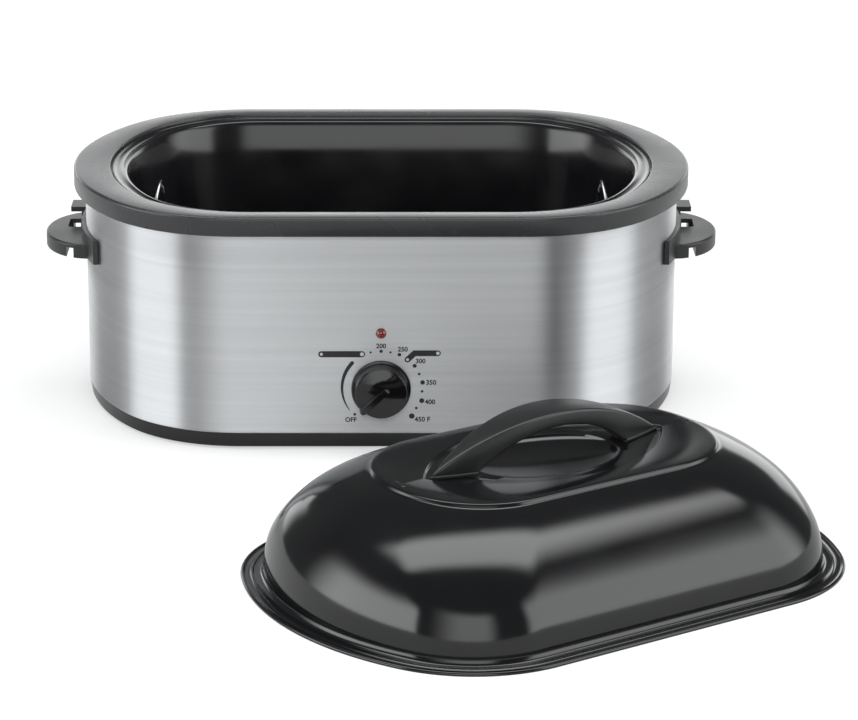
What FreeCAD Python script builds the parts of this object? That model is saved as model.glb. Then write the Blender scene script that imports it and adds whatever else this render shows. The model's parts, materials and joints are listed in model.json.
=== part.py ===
import FreeCAD, Part
import Sketcher
import math
import os

# Electric roaster oven with its lid taken off and laid on the counter in front.
# The origin is the centre of the roaster's footprint on the counter.
# The knob side faces -Y, +X is to the right of somebody who faces the knob.

DOCUMENT = FreeCAD.newDocument("RoasterOven")
SHEET = DOCUMENT.addObject("Spreadsheet::Sheet", "Sizes")
NODES = {}
OVALS = {}
ROUND_STEPS = 4

# Driving dimensions in millimetres, angles in degrees.
# An oval outline has four sizes: half width, half depth, the radius of its
# corners and the radius of its two bowed ends. OVALS keeps them by name.
DIMENSIONS = {
    # outer outline of the top collar
    "collar_half_width": 278.0,
    "collar_half_depth": 198.0,
    # how far the mouth lies inside the collar, and the lid's ovals inside the mouth
    "mouth_end_step": 33.0,
    "mouth_side_step": 20.0,
    "shoulder_end_step": 45.0,
    "shoulder_side_step": 46.0,
    "crown_end_step": 50.0,
    "crown_side_step": 44.0,
    # radii of an oval's corners and of its ends, as shares of its half depth
    "collar_corner_share": 0.6768,
    "collar_end_share": 1.2323,
    "mouth_corner_share": 0.6629,
    "mouth_end_share": 1.4045,
    "shoulder_corner_share": 0.697,
    "shoulder_end_share": 1.6061,
    "crown_corner_share": 0.8636,
    "crown_end_share": 1.1818,
    # collar
    "collar_height": 17.0,
    "collar_deck": 4.0,
    "collar_edge_round": 2.5,
    "ledge_drop": 5.0,
    "ledge_width": 8.0,
    "ledge_wall": 3.0,
    # steel wrap
    "wrap_inset": 10.0,
    "wrap_wall": 1.0,
    "wrap_height": 193.5,
    "seam_plate_width": 22.0,
    "seam_plate_wall": 0.8,
    "seam_plate_margin": 8.0,
    "seam_rivet_radius": 2.5,
    "seam_rivet_head": 1.2,
    "seam_rivet_count": 4,
    # base tray
    "foot_height": 4.0,
    "foot_radius": 11.0,
    "foot_end_step": 85.0,
    "foot_side_step": 86.0,
    "lip_lift": 1.5,
    "lip_inset": 3.0,
    "lip_width": 5.0,
    "base_side_height": 10.5,
    "base_waist": 1.5,
    "base_floor": 3.0,
    "base_rim_height": 9.5,
    "base_wall": 3.0,
    "post_radius": 7.0,
    "shield_wall": 0.8,
    "standoff_radius": 5.0,
    "base_screw_radius": 2.0,
    "base_screw_head_radius": 4.0,
    "base_screw_head": 2.4,
    "base_screw_reach": 10.0,
    # heating well
    "well_wall": 1.0,
    "well_top_inset": 11.0,
    "well_bottom_inset": 29.0,
    "well_clearance_below": 20.2,
    "well_corner": 25.0,
    "well_flange_reach": 4.0,
    # roasting pan
    "pan_wall": 1.2,
    "pan_top_inset": 15.5,
    "pan_bottom_inset": 34.0,
    "pan_corner": 22.0,
    "pan_lift": 11.0,
    "pan_rim_height": 2.4,
    "pan_rim_width": 2.2,
    "pan_seat_clearance": 1.5,
    # wire rack
    "rack_wire": 2.0,
    "rack_cross_wire": 1.5,
    "rack_leg_wire": 1.8,
    "rack_loop_wire": 1.7,
    "rack_inset": 50.0,
    "rack_leg": 12.0,
    "rack_cross_count": 15,
    "rack_cross_share": 0.9,
    "rack_bearer_y": 62.0,
    "rack_leg_x": 88.0,
    "rack_handle_height": 110.0,
    "rack_handle_stub": 8.0,
    "rack_handle_half_width": 45.0,
    "rack_handle_bend": 14.0,
    "rack_handle_lean": 13.0,
    # heater and insulation
    "heater_wall": 3.0,
    "heater_bottom": 85.0,
    "heater_height": 40.0,
    "heater_terminal_x": 40.0,
    "heater_terminal_radius": 4.0,
    "heater_terminal_length": 9.0,
    "blanket_wall": 6.0,
    "blanket_bottom": 62.0,
    "blanket_height": 128.0,
    "window_half_width": 52.0,
    "window_height": 24.0,
    # thermostat and knob
    "knob_height": 56.0,
    "thermostat_width": 36.0,
    "thermostat_depth": 20.0,
    "thermostat_height": 32.0,
    "bracket_width": 64.0,
    "bracket_wall": 1.6,
    "bracket_height": 40.0,
    "neck_radius": 4.8,
    "neck_length": 6.0,
    "nut_radius": 7.5,
    "nut_thickness": 3.0,
    "shaft_radius": 3.0,
    "shaft_length": 27.0,
    "shaft_depth": 8.0,
    "knob_radius": 25.9,
    "knob_face_radius": 22.4,
    "knob_gap": 1.6,
    "knob_skirt": 4.0,
    "knob_side": 10.5,
    "knob_crown": 4.5,
    "knob_hollow_radius": 19.0,
    "knob_hollow_depth": 7.0,
    "knob_hub_radius": 6.5,
    "pointer_width": 9.0,
    "pointer_rise": 5.0,
    "pointer_tail": 9.0,
    "pointer_angle": 133.5,
    "bulb_radius": 3.0,
    "bulb_length": 70.0,
    "bulb_height": 74.0,
    "capillary_radius": 1.0,
    "bulb_clip_width": 12.0,
    # indicator light
    "lens_radius": 4.65,
    "lens_neck_radius": 3.8,
    "lens_height": 106.0,
    "lens_flange": 1.0,
    "lens_dome": 3.2,
    "lens_neck_length": 5.0,
    "lamp_radius": 2.6,
    "lamp_length": 12.0,
    "lamp_holder_wall": 1.4,
    # terminal block, cord gland and leads
    "block_width": 46.0,
    "block_depth": 16.0,
    "block_height": 13.0,
    "block_x": 20.0,
    "block_inset": 33.0,
    "gland_x": 90.0,
    "gland_height": 44.0,
    "gland_neck_radius": 7.0,
    "gland_flange_radius": 10.0,
    "gland_flange": 5.0,
    "gland_bore_radius": 4.0,
    "gland_neck_bore": 5.0,
    "gland_neck_length": 10.0,
    "gland_nut": 4.0,
    "lead_radius": 1.3,
    "lead_level": 7.0,
    "lead_step": 10.0,
    # side handles
    "handle_half_length": 58.0,
    "handle_reach": 43.0,
    "handle_sink": 6.0,
    "handle_top": 148.5,
    "handle_thickness": 13.5,
    "handle_edge_round": 1.8,
    "slot_width": 6.5,
    "slot_offset": 14.5,
    "slot_depth": 9.5,
    "hole_start": 3.0,
    "hole_length": 27.0,
    "hole_width": 14.0,
    "tab_start": 31.5,
    "tab_length": 25.0,
    "tab_width": 17.0,
    "tab_wall": 4.5,
    "tab_gap": 6.5,
    "plate_wall": 4.0,
    "plate_half_length": 86.0,
    "plate_height": 22.0,
    "backing_half_length": 50.0,
    "backing_wall": 2.0,
    "backing_height": 18.0,
    "handle_screw_y": 38.0,
    "handle_screw_radius": 2.0,
    "handle_screw_head": 2.5,
    "handle_screw_head_radius": 4.2,
    # lid
    "lid_clearance": 4.0,
    "lid_flange_width": 18.0,
    "lid_wall": 1.4,
    "lid_roll_height": 3.0,
    "lid_roll_width": 3.0,
    "lid_bead_height": 2.3,
    "lid_bead_offset": 8.0,
    "lid_bead_width": 2.2,
    "lid_side_height": 30.0,
    "lid_side_draft": 4.0,
    "shoulder_height": 62.0,
    "crown_height": 93.0,
    "panel_inset": 4.0,
    "panel_rise": 4.0,
    "recess_end_step": 34.0,
    "recess_side_step": 26.0,
    "recess_depth": 3.0,
    "scoop_end_step": 50.0,
    "scoop_side_step": 16.0,
    "scoop_depth": 10.0,
    "vent_inset": 12.0,
    "vent_length": 12.0,
    "vent_width": 3.5,
    "lid_x": 129.5,
    "lid_y": -472.5,
    "lid_yaw": 33.5,
    # lid handle
    "grip_end_step": 8.0,
    "grip_half_width": 17.0,
    "grip_rise": 40.0,
    "grip_thickness": 12.0,
    "grip_tip": 4.0,
    "grip_foot_length": 36.0,
    "grip_step_height": 3.0,
    "grip_step_reach": 3.0,
    "grip_screw_inset": 22.0,
    "grip_screw_radius": 2.2,
    "grip_screw_head_radius": 4.5,
    "grip_screw_head": 2.5,
    "grip_screw_depth": 6.0,
    "washer_radius": 7.0,
    "washer_wall": 1.0,
    # fits
    "slip_fit": 0.3,
    "bore_fit": 0.2,
    "running_fit": 0.06,
    "snug_fit": 0.03,
}


class Size:
    """A length that carries its value and its formula on the sheet."""

    def __init__(self, value, formula):
        self.value = float(value)
        self.formula = formula

    def __float__(self):
        return self.value

    def __add__(self, other):
        other = as_size(other)
        return Size(self.value + other.value, "(%s + %s)" % (self.formula, other.formula))

    def __sub__(self, other):
        other = as_size(other)
        return Size(self.value - other.value, "(%s - %s)" % (self.formula, other.formula))

    def __mul__(self, other):
        other = as_size(other)
        return Size(self.value * other.value, "(%s * %s)" % (self.formula, other.formula))

    def __truediv__(self, other):
        other = as_size(other)
        return Size(self.value / other.value, "(%s / %s)" % (self.formula, other.formula))

    def __neg__(self):
        return Size(-self.value, "(0 - %s)" % self.formula)


def as_size(number):
    """A plain number as a size, and a size as it is."""
    if isinstance(number, Size):
        return number
    return Size(number, repr(float(number)))


def root_of(size):
    """Square root of a size, for circles that touch or meet."""
    return Size(math.sqrt(size.value), "sqrt(%s)" % size.formula)


def fill_sheet():
    """Write each driving dimension into the sheet, with its name as alias."""
    for row, (name, value) in enumerate(DIMENSIONS.items(), start=1):
        SHEET.set("A%d" % row, name)
        SHEET.set("B%d" % row, str(value))
        SHEET.setAlias("B%d" % row, name)
    DOCUMENT.recompute()


def dim(name):
    """The driving dimension with this name."""
    return Size(DIMENSIONS[name], "Sizes." + name)


def bind(item, places):
    """Bind properties of a document object to formulas on the sheet."""
    for place, size in places.items():
        item.setExpression(place, as_size(size).formula)


def put(item, x, y, z):
    """Bind the position of an object's placement."""
    bind(item, {"Placement.Base.x": x, "Placement.Base.y": y, "Placement.Base.z": z})


AXIS_TURNS = {
    "Z": FreeCAD.Rotation(),
    "-Z": FreeCAD.Rotation(FreeCAD.Vector(1, 0, 0), 180),
    "Y": FreeCAD.Rotation(FreeCAD.Vector(1, 0, 0), -90),
    "-Y": FreeCAD.Rotation(FreeCAD.Vector(1, 0, 0), 90),
    "X": FreeCAD.Rotation(FreeCAD.Vector(0, 1, 0), 90),
    "-X": FreeCAD.Rotation(FreeCAD.Vector(0, 1, 0), -90),
}


def node(item, name):
    """Keep an object as the sub-part with this name."""
    item.Label = name
    NODES[name] = item
    return item


def cylinder(name, radius, length, x, y, z, axis="Z"):
    """A cylinder whose foot is at x, y, z and that grows along the axis."""
    item = DOCUMENT.addObject("Part::Cylinder", name)
    item.Placement.Rotation = AXIS_TURNS[axis]
    bind(item, {"Radius": radius, "Height": length})
    put(item, x, y, z)
    return item


def cone(name, radius, end_radius, length, x, y, z, axis="Z"):
    """A cone whose foot is at x, y, z and that grows along the axis."""
    item = DOCUMENT.addObject("Part::Cone", name)
    item.Placement.Rotation = AXIS_TURNS[axis]
    bind(item, {"Radius1": radius, "Radius2": end_radius, "Height": length})
    put(item, x, y, z)
    return item


def box(name, width, depth, height, x, y, z):
    """A box with its low corner at x, y, z."""
    item = DOCUMENT.addObject("Part::Box", name)
    bind(item, {"Length": width, "Width": depth, "Height": height})
    put(item, x, y, z)
    return item


def fuse(name, items):
    """Join objects into one solid."""
    item = DOCUMENT.addObject("Part::MultiFuse", name)
    item.Shapes = items
    item.Refine = True
    return item


def cut(name, base, tool):
    """Take one object away from another."""
    item = DOCUMENT.addObject("Part::Cut", name)
    item.Base = base
    item.Tool = tool
    return item


def cut_all(name, base, tools):
    """Take several objects away from one."""
    return cut(name, base, fuse(name + "Tools", tools))


def common(name, first, second):
    """What two objects share."""
    item = DOCUMENT.addObject("Part::Common", name)
    item.Base = first
    item.Tool = second
    return item


def group(name, items):
    """Several separate solids as one object."""
    item = DOCUMENT.addObject("Part::Compound", name)
    item.Links = items
    return item


def new_body(name):
    """An empty body."""
    return DOCUMENT.addObject("PartDesign::Body", name)


def plane_of(body, role):
    """One of the body's own origin planes."""
    for item in body.Origin.OriginFeatures:
        if item.Role == role:
            return item
    raise ValueError(role)


def new_sketch(body, name, role, offset):
    """A sketch on one of the body's origin planes, moved along its normal."""
    sketch = body.newObject("Sketcher::SketchObject", name)
    sketch.AttachmentSupport = [(plane_of(body, role), "")]
    sketch.MapMode = "FlatFace"
    sketch.setExpression("AttachmentOffset.Base.z", as_size(offset).formula)
    return sketch


def hold(sketch, constraint, size, name):
    """Add a dimension to a sketch and bind it."""
    index = sketch.addConstraint(constraint)
    sketch.renameConstraint(index, name)
    sketch.setExpression("Constraints." + name, size.formula)


def add_family(name, half_width, half_depth):
    """Keep an oval's half width and half depth, with the radii that go with them."""
    corner = half_depth * dim(name + "_corner_share")
    end = half_depth * dim(name + "_end_share")
    OVALS[name] = (half_width, half_depth, corner, end)


def oval_sizes(family, inset):
    """Corner centre, end centre and radii of an outline moved inwards."""
    half_width, half_depth, corner, end = OVALS[family]
    end_centre = half_width - end
    corner_y = half_depth - corner
    spread = (end - corner) * (end - corner) - corner_y * corner_y
    corner_x = end_centre + root_of(spread)
    return corner_x, corner_y, end_centre, corner - inset, end - inset


def add_oval(sketch, family, inset, tag):
    """Add a closed oval: two straight sides, four corners and two bowed ends."""
    corner_x, corner_y, end_centre, corner, end = oval_sizes(family, as_size(inset))
    turn = math.atan2(float(corner_y), float(corner_x - end_centre))
    high = float(corner_y + corner)
    axis = FreeCAD.Vector(0, 0, 1)
    shapes = [Part.LineSegment(FreeCAD.Vector(-float(corner_x), high, 0),
                               FreeCAD.Vector(float(corner_x), high, 0))]
    arcs = (
        (corner_x, corner_y, corner, turn, math.pi / 2),
        (end_centre, as_size(0), end, -turn, turn),
        (corner_x, -corner_y, corner, -math.pi / 2, -turn),
        None,
        (-corner_x, -corner_y, corner, math.pi + turn, math.pi * 1.5),
        (-end_centre, as_size(0), end, math.pi - turn, math.pi + turn),
        (-corner_x, corner_y, corner, math.pi / 2, math.pi - turn),
    )
    for arc in arcs:
        if arc is None:
            shapes.append(Part.LineSegment(FreeCAD.Vector(float(corner_x), -high, 0),
                                           FreeCAD.Vector(-float(corner_x), -high, 0)))
            continue
        centre_x, centre_y, radius, start, stop = arc
        circle = Part.Circle(FreeCAD.Vector(float(centre_x), float(centre_y), 0), axis,
                             float(radius))
        shapes.append(Part.ArcOfCircle(circle, start, stop))
    first = sketch.GeometryCount
    sketch.addGeometry(shapes, False)
    top, corner_ne, east, corner_se, low, corner_sw, west, corner_nw = range(first, first + 8)
    # an arc's start is its end that comes first when going anticlockwise
    joints = (
        (top, 2, corner_ne, 2),
        (corner_ne, 1, east, 2),
        (east, 1, corner_se, 2),
        (corner_se, 1, low, 1),
        (low, 2, corner_sw, 2),
        (corner_sw, 1, west, 2),
        (west, 1, corner_nw, 2),
        (corner_nw, 1, top, 1),
    )
    sketch.addConstraint([Sketcher.Constraint("Tangent", *joint) for joint in joints])
    sketch.addConstraint([
        Sketcher.Constraint("Symmetric", corner_ne, 3, corner_nw, 3, -2),
        Sketcher.Constraint("Symmetric", corner_ne, 3, corner_se, 3, -1),
        Sketcher.Constraint("Symmetric", corner_se, 3, corner_sw, 3, -2),
        Sketcher.Constraint("Equal", corner_ne, corner_nw),
        Sketcher.Constraint("Equal", corner_ne, corner_se),
        Sketcher.Constraint("Equal", corner_ne, corner_sw),
        Sketcher.Constraint("Equal", east, west),
    ])
    hold(sketch, Sketcher.Constraint("DistanceX", -1, 1, corner_ne, 3, float(corner_x)),
         corner_x, tag + "CornerX")
    hold(sketch, Sketcher.Constraint("DistanceY", -1, 1, corner_ne, 3, float(corner_y)),
         corner_y, tag + "CornerY")
    hold(sketch, Sketcher.Constraint("Radius", corner_ne, float(corner)), corner, tag + "Corner")
    hold(sketch, Sketcher.Constraint("Radius", east, float(end)), end, tag + "End")


def oval_sketch(body, name, family, inset, height):
    """A sketch with one oval at a height."""
    sketch = new_sketch(body, name, "XY_Plane", height)
    add_oval(sketch, family, inset, "Outer")
    return sketch


def ring_sketch(body, name, outer, inner, height):
    """A sketch with two ovals, each a family and an inset, at a height."""
    sketch = new_sketch(body, name, "XY_Plane", height)
    add_oval(sketch, outer[0], outer[1], "Outer")
    add_oval(sketch, inner[0], inner[1], "Inner")
    return sketch


def pad(body, name, sketch, length):
    """Pad a sketch upwards."""
    item = body.newObject("PartDesign::Pad", name)
    item.Profile = sketch
    bind(item, {"Length": length})
    return item


def pocket(body, name, sketch, length, upwards=False):
    """Cut a sketch downwards, or upwards."""
    item = body.newObject("PartDesign::Pocket", name)
    item.Profile = sketch
    item.Reversed = upwards
    bind(item, {"Length": length})
    return item


def loft(body, name, sketches, ruled):
    """A loft through sketches, from the lowest to the highest."""
    item = body.newObject("PartDesign::AdditiveLoft", name)
    item.Profile = sketches[0]
    item.Sections = sketches[1:]
    item.Ruled = ruled
    return item


def edges_at(shape, height):
    """Names of a shape's edges that lie wholly at one height."""
    names = []
    for number, edge in enumerate(shape.Edges, start=1):
        limits = edge.BoundBox
        if abs(limits.ZMin - height) < 0.01 and abs(limits.ZMax - height) < 0.01:
            names.append("Edge%d" % number)
    return names


def fillet(body, name, base, names, radius):
    """Round some edges of the body's last feature."""
    item = body.newObject("PartDesign::Fillet", name)
    item.Base = (base, names)
    bind(item, {"Radius": radius})
    return item


def oval_slab(name, family, inset, bottom, height):
    """A flat plate or prism with an oval outline."""
    body = new_body(name)
    sketch = oval_sketch(body, name + "Outline", family, inset, bottom)
    pad(body, name + "Pad", sketch, height)
    return body


def oval_ring(name, outer, inner, bottom, height):
    """An upright ring between two ovals."""
    body = new_body(name)
    sketch = ring_sketch(body, name + "Outline", outer, inner, bottom)
    pad(body, name + "Pad", sketch, height)
    return body


def tub(name, family, top, top_inset, bottom, bottom_inset, corner):
    """A solid tub that narrows downwards, with its bottom edge rounded in steps."""
    body = new_body(name)
    sketches = []
    for number in range(ROUND_STEPS + 1):
        angle = math.pi / 2 * (1 - number / ROUND_STEPS)
        inset = bottom_inset + corner * (1 - math.cos(angle))
        height = bottom + corner * (1 - math.sin(angle))
        sketches.append(oval_sketch(body, "%sRound%d" % (name, number), family, inset, height))
    sketches.append(oval_sketch(body, name + "Top", family, top_inset, top))
    loft(body, name + "Side", sketches, True)
    return body


fill_sheet()

# Ovals, each inside the one before
add_family("collar", dim("collar_half_width"), dim("collar_half_depth"))
for outer_name, inner_name in (("collar", "mouth"), ("mouth", "shoulder"),
                               ("shoulder", "crown")):
    add_family(inner_name, OVALS[outer_name][0] - dim(inner_name + "_end_step"),
               OVALS[outer_name][1] - dim(inner_name + "_side_step"))
COLLAR_WIDTH, COLLAR_DEPTH, _, COLLAR_END = OVALS["collar"]
MOUTH_WIDTH, MOUTH_DEPTH, _, MOUTH_END = OVALS["mouth"]
CROWN_WIDTH, CROWN_DEPTH = OVALS["crown"][:2]

# Heights that several pieces share, from the counter upwards
FLOOR_BOTTOM = dim("foot_height")
FLOOR_TOP = FLOOR_BOTTOM + dim("base_floor")
SHOULDER = FLOOR_BOTTOM + dim("base_side_height")
SHIELD_BOTTOM = SHOULDER + dim("base_rim_height")
SHIELD_TOP = SHIELD_BOTTOM + dim("shield_wall")
WELL_BOTTOM = SHIELD_TOP + dim("well_clearance_below")
WRAP_TOP = SHOULDER + dim("wrap_height")
COLLAR_TOP = WRAP_TOP + dim("collar_deck")
COLLAR_BOTTOM = COLLAR_TOP - dim("collar_height")
LEDGE_TOP = COLLAR_TOP - dim("ledge_drop")
LEDGE_BOTTOM = LEDGE_TOP - dim("ledge_wall")
PAN_BOTTOM = WELL_BOTTOM + dim("pan_lift")
KNOB_Z = dim("knob_height")

# Faces of the steel wrap, seen from above
WRAP_FRONT = dim("wrap_inset") - COLLAR_DEPTH
WRAP_FRONT_INNER = WRAP_FRONT + dim("wrap_wall")
WRAP_REAR = -WRAP_FRONT
WRAP_REAR_INNER = -WRAP_FRONT_INNER
WRAP_END_CENTRE = COLLAR_WIDTH - COLLAR_END
WRAP_END_RADIUS = COLLAR_END - dim("wrap_inset")
WRAP_END = COLLAR_WIDTH - dim("wrap_inset")
HANDLE_ROOT = WRAP_END - dim("handle_sink")
FOOT_X = MOUTH_WIDTH - dim("foot_end_step")
FOOT_Y = MOUTH_DEPTH - dim("foot_side_step")
BLOCK_Y = WRAP_REAR_INNER - dim("block_inset")
CORNERS = ((-1, -1), (1, -1), (1, 1), (-1, 1))


def well_inset(height):
    """Inset of the well's outer wall from the mouth outline at a height."""
    drop = LEDGE_BOTTOM - WELL_BOTTOM - dim("well_corner")
    slope = (dim("well_bottom_inset") - dim("well_top_inset")) / drop
    return dim("well_top_inset") + slope * (LEDGE_BOTTOM - height)


def make_collar():
    """Black collar: a deck with a ledge for the pan and a groove for the wrap."""
    body = new_body("Collar")
    outline = oval_sketch(body, "CollarOutline", "collar", 0, COLLAR_BOTTOM)
    block = pad(body, "CollarBlock", outline, dim("collar_height"))
    DOCUMENT.recompute()
    rounded = fillet(body, "CollarRound", block, edges_at(block.Shape, float(COLLAR_TOP)),
                     dim("collar_edge_round"))
    body.Tip = rounded
    mouth = oval_sketch(body, "MouthOutline", "mouth", 0, COLLAR_TOP)
    pocket(body, "MouthPocket", mouth, dim("ledge_drop"))
    opening = oval_sketch(body, "LedgeOpening", "mouth", dim("ledge_width"), COLLAR_TOP)
    pocket(body, "LedgePocket", opening, dim("collar_height"))
    inner = dim("wrap_inset") - dim("slip_fit")
    below = oval_sketch(body, "CollarUnderside", "collar", inner, COLLAR_BOTTOM)
    pocket(body, "UndersidePocket", below, LEDGE_BOTTOM - COLLAR_BOTTOM, True)
    groove = ring_sketch(body, "WrapGroove", ("collar", inner), ("mouth", -dim("ledge_wall")),
                         LEDGE_BOTTOM)
    pocket(body, "GroovePocket", groove, WRAP_TOP - LEDGE_BOTTOM, True)
    node(body, "top_collar")


def make_wrap():
    """Brushed steel band with holes for the controls, gland, seam and handles."""
    outer = ("collar", dim("wrap_inset"))
    inner = ("collar", dim("wrap_inset") + dim("wrap_wall"))
    band = oval_ring("WrapBand", outer, inner, SHOULDER, dim("wrap_height"))
    start = WRAP_FRONT - 1
    tools = [
        cylinder("NeckHole", dim("neck_radius") + dim("bore_fit"), dim("wrap_wall") + 2,
                 0, start, KNOB_Z, "Y"),
        cylinder("LensHole", dim("lens_neck_radius") + dim("bore_fit"), dim("wrap_wall") + 2,
                 0, start, dim("lens_height"), "Y"),
        cylinder("GlandHole", dim("gland_neck_radius") + dim("bore_fit"), dim("wrap_wall") + 2,
                 dim("gland_x"), WRAP_REAR_INNER - 1, dim("gland_height"), "Y"),
    ]
    for number, height in enumerate(rivet_heights()):
        tools.append(cylinder("RivetHole%d" % number,
                              dim("seam_rivet_radius") / 2 + dim("bore_fit"),
                              dim("wrap_wall") + 2, 0, WRAP_REAR_INNER - 1, height, "Y"))
    for number, (side, along) in enumerate(CORNERS):
        tools.append(cylinder("HandleHole%d" % number,
                              dim("handle_screw_radius") + dim("bore_fit"),
                              dim("handle_screw_y"),
                              (WRAP_END - dim("handle_screw_y") * 0.7) * side,
                              dim("handle_screw_y") * along,
                              plate_middle(), "X" if side > 0 else "-X"))
    node(cut_all("Wrap", band, tools), "outer_wrap")


def rivet_heights():
    """Heights of the rivets along the rear seam."""
    count = int(DIMENSIONS["seam_rivet_count"])
    low = SHOULDER + dim("seam_plate_margin") * 2
    high = COLLAR_BOTTOM - dim("seam_plate_margin") * 2
    return [low + (high - low) * (number / (count - 1)) for number in range(count)]


def make_seam():
    """Strip over the wrap's rear joint, and its rivets."""
    low = SHOULDER + dim("seam_plate_margin")
    high = COLLAR_BOTTOM - dim("seam_plate_margin")
    plate = box("SeamStrip", dim("seam_plate_width"), dim("seam_plate_wall"), high - low,
                dim("seam_plate_width") / -2, WRAP_REAR, low)
    shank_radius = dim("seam_rivet_radius") / 2
    holes = []
    rivets = []
    face = WRAP_REAR + dim("seam_plate_wall")
    length = dim("seam_plate_wall") + dim("wrap_wall")
    for number, height in enumerate(rivet_heights()):
        holes.append(cylinder("StripHole%d" % number, shank_radius + dim("bore_fit"),
                              dim("seam_plate_wall") + 2, 0, WRAP_REAR - 1, height, "Y"))
        head = cone("RivetHead%d" % number, dim("seam_rivet_radius"), shank_radius,
                    dim("seam_rivet_head"), 0, face, height, "Y")
        shank = cylinder("RivetShank%d" % number, shank_radius, length, 0, face, height, "-Y")
        tail = cylinder("RivetTail%d" % number, dim("seam_rivet_radius"),
                        dim("seam_rivet_head"), 0, WRAP_REAR_INNER, height, "-Y")
        rivets.append(fuse("Rivet%d" % number, [head, shank, tail]))
    node(cut_all("SeamPlate", plate, holes), "seam_plate")
    node(group("SeamRivets", rivets), "seam_rivets")


def make_base():
    """Black base tray: lower lip, waisted side, inner wall, floor and posts."""
    body = new_body("BaseShell")
    lip_inset = dim("wrap_inset") + dim("lip_inset")
    lip = oval_sketch(body, "LipOutline", "collar", lip_inset, dim("lip_lift"))
    pad(body, "Lip", lip, FLOOR_BOTTOM - dim("lip_lift"))
    low = oval_sketch(body, "BaseLow", "collar", dim("wrap_inset") + dim("base_waist"),
                      FLOOR_BOTTOM)
    high = oval_sketch(body, "BaseHigh", "collar", dim("wrap_inset"), SHOULDER)
    loft(body, "BaseSide", [low, high], True)
    inner = dim("wrap_inset") + dim("wrap_wall") + dim("slip_fit")
    rim = oval_sketch(body, "RimOutline", "collar", inner, SHOULDER)
    pad(body, "BaseRim", rim, dim("base_rim_height"))
    cavity = oval_sketch(body, "BaseCavity", "collar", inner + dim("base_wall"), SHIELD_BOTTOM)
    pocket(body, "CavityPocket", cavity, SHIELD_BOTTOM - FLOOR_TOP)
    below = oval_sketch(body, "LipInside", "collar", lip_inset + dim("lip_width"),
                        dim("lip_lift"))
    pocket(body, "LipPocket", below, FLOOR_BOTTOM - dim("lip_lift"), True)
    posts = [body]
    holes = []
    for number, (side, along) in enumerate(CORNERS):
        x = FOOT_X * side
        y = FOOT_Y * along
        posts.append(cylinder("Post%d" % number, dim("post_radius"), SHIELD_BOTTOM - FLOOR_BOTTOM,
                              x, y, FLOOR_BOTTOM))
        holes.append(cylinder("PostHole%d" % number,
                              dim("base_screw_radius") + dim("bore_fit"),
                              SHIELD_BOTTOM - FLOOR_BOTTOM + 2, x, y, FLOOR_BOTTOM - 1))
    node(cut_all("Base", fuse("BaseWithPosts", posts), holes), "base_tray")


def make_feet():
    """Rubber feet, the screws through them, and the spacers under the well."""
    feet = []
    screws = []
    spacers = []
    spacer_height = WELL_BOTTOM - SHIELD_TOP
    screw_radius = dim("base_screw_radius")
    head_radius = dim("base_screw_head_radius")
    head_bottom = FLOOR_BOTTOM - dim("base_screw_head")
    for number, (side, along) in enumerate(CORNERS):
        x = FOOT_X * side
        y = FOOT_Y * along
        disc = cylinder("FootDisc%d" % number, dim("foot_radius"), dim("foot_height"), x, y, 0)
        well = cylinder("FootWell%d" % number, head_radius + dim("slip_fit"),
                        dim("foot_height") + 2, x, y, -1)
        feet.append(cut("Foot%d" % number, disc, well))
        head = cylinder("BaseHead%d" % number, head_radius, dim("base_screw_head"), x, y,
                        head_bottom)
        shank = cylinder("BaseShank%d" % number, screw_radius,
                         SHIELD_TOP - head_bottom + dim("base_screw_reach"), x, y, head_bottom)
        screws.append(fuse("BaseScrew%d" % number, [head, shank]))
        tube = cylinder("SpacerTube%d" % number, dim("standoff_radius"), spacer_height, x, y,
                        SHIELD_TOP)
        bore = cylinder("SpacerBore%d" % number, screw_radius + dim("bore_fit"),
                        dim("base_screw_reach") + 2, x, y, SHIELD_TOP - 1)
        spacers.append(cut("Spacer%d" % number, tube, bore))
    node(group("Feet", feet), "feet")
    node(group("BaseScrews", screws), "base_screws")
    node(group("WellSpacers", spacers), "well_spacers")


def make_shield():
    """Bright plate between the well and the base."""
    inset = dim("wrap_inset") + dim("wrap_wall") + dim("slip_fit")
    plate = oval_slab("ShieldPlate", "collar", inset, SHIELD_BOTTOM, dim("shield_wall"))
    holes = []
    for number, (side, along) in enumerate(CORNERS):
        holes.append(cylinder("ShieldHole%d" % number,
                              dim("base_screw_radius") + dim("bore_fit"),
                              dim("shield_wall") + 2, FOOT_X * side,
                              FOOT_Y * along, SHIELD_BOTTOM - 1))
    node(cut_all("Shield", plate, holes), "heat_shield")


def make_well():
    """Heating well: a tub with a flange that lies under the collar's ledge."""
    wall = dim("well_wall")
    outer = tub("WellOuter", "mouth", LEDGE_BOTTOM, dim("well_top_inset"), WELL_BOTTOM,
                dim("well_bottom_inset"), dim("well_corner"))
    flange = oval_slab("WellFlange", "mouth", -dim("well_flange_reach"), LEDGE_BOTTOM - wall,
                       wall)
    inner = tub("WellInner", "mouth", LEDGE_BOTTOM, dim("well_top_inset") + wall,
                WELL_BOTTOM + wall, dim("well_bottom_inset") + wall, dim("well_corner") - wall)
    node(cut("Well", fuse("WellSolid", [outer, flange]), inner), "heating_well")


def tapered_ring(name, bottom, height, gap, wall):
    """A ring that follows the well's sloping wall at a gap."""
    bodies = []
    for tag, offset in (("Outer", gap + wall), ("Inner", gap)):
        body = new_body(name + tag)
        low = oval_sketch(body, name + tag + "Low", "mouth", well_inset(bottom) - offset, bottom)
        high = oval_sketch(body, name + tag + "High", "mouth",
                           well_inset(bottom + height) - offset, bottom + height)
        loft(body, name + tag + "Side", [low, high], True)
        bodies.append(body)
    return cut(name, bodies[0], bodies[1])


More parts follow.
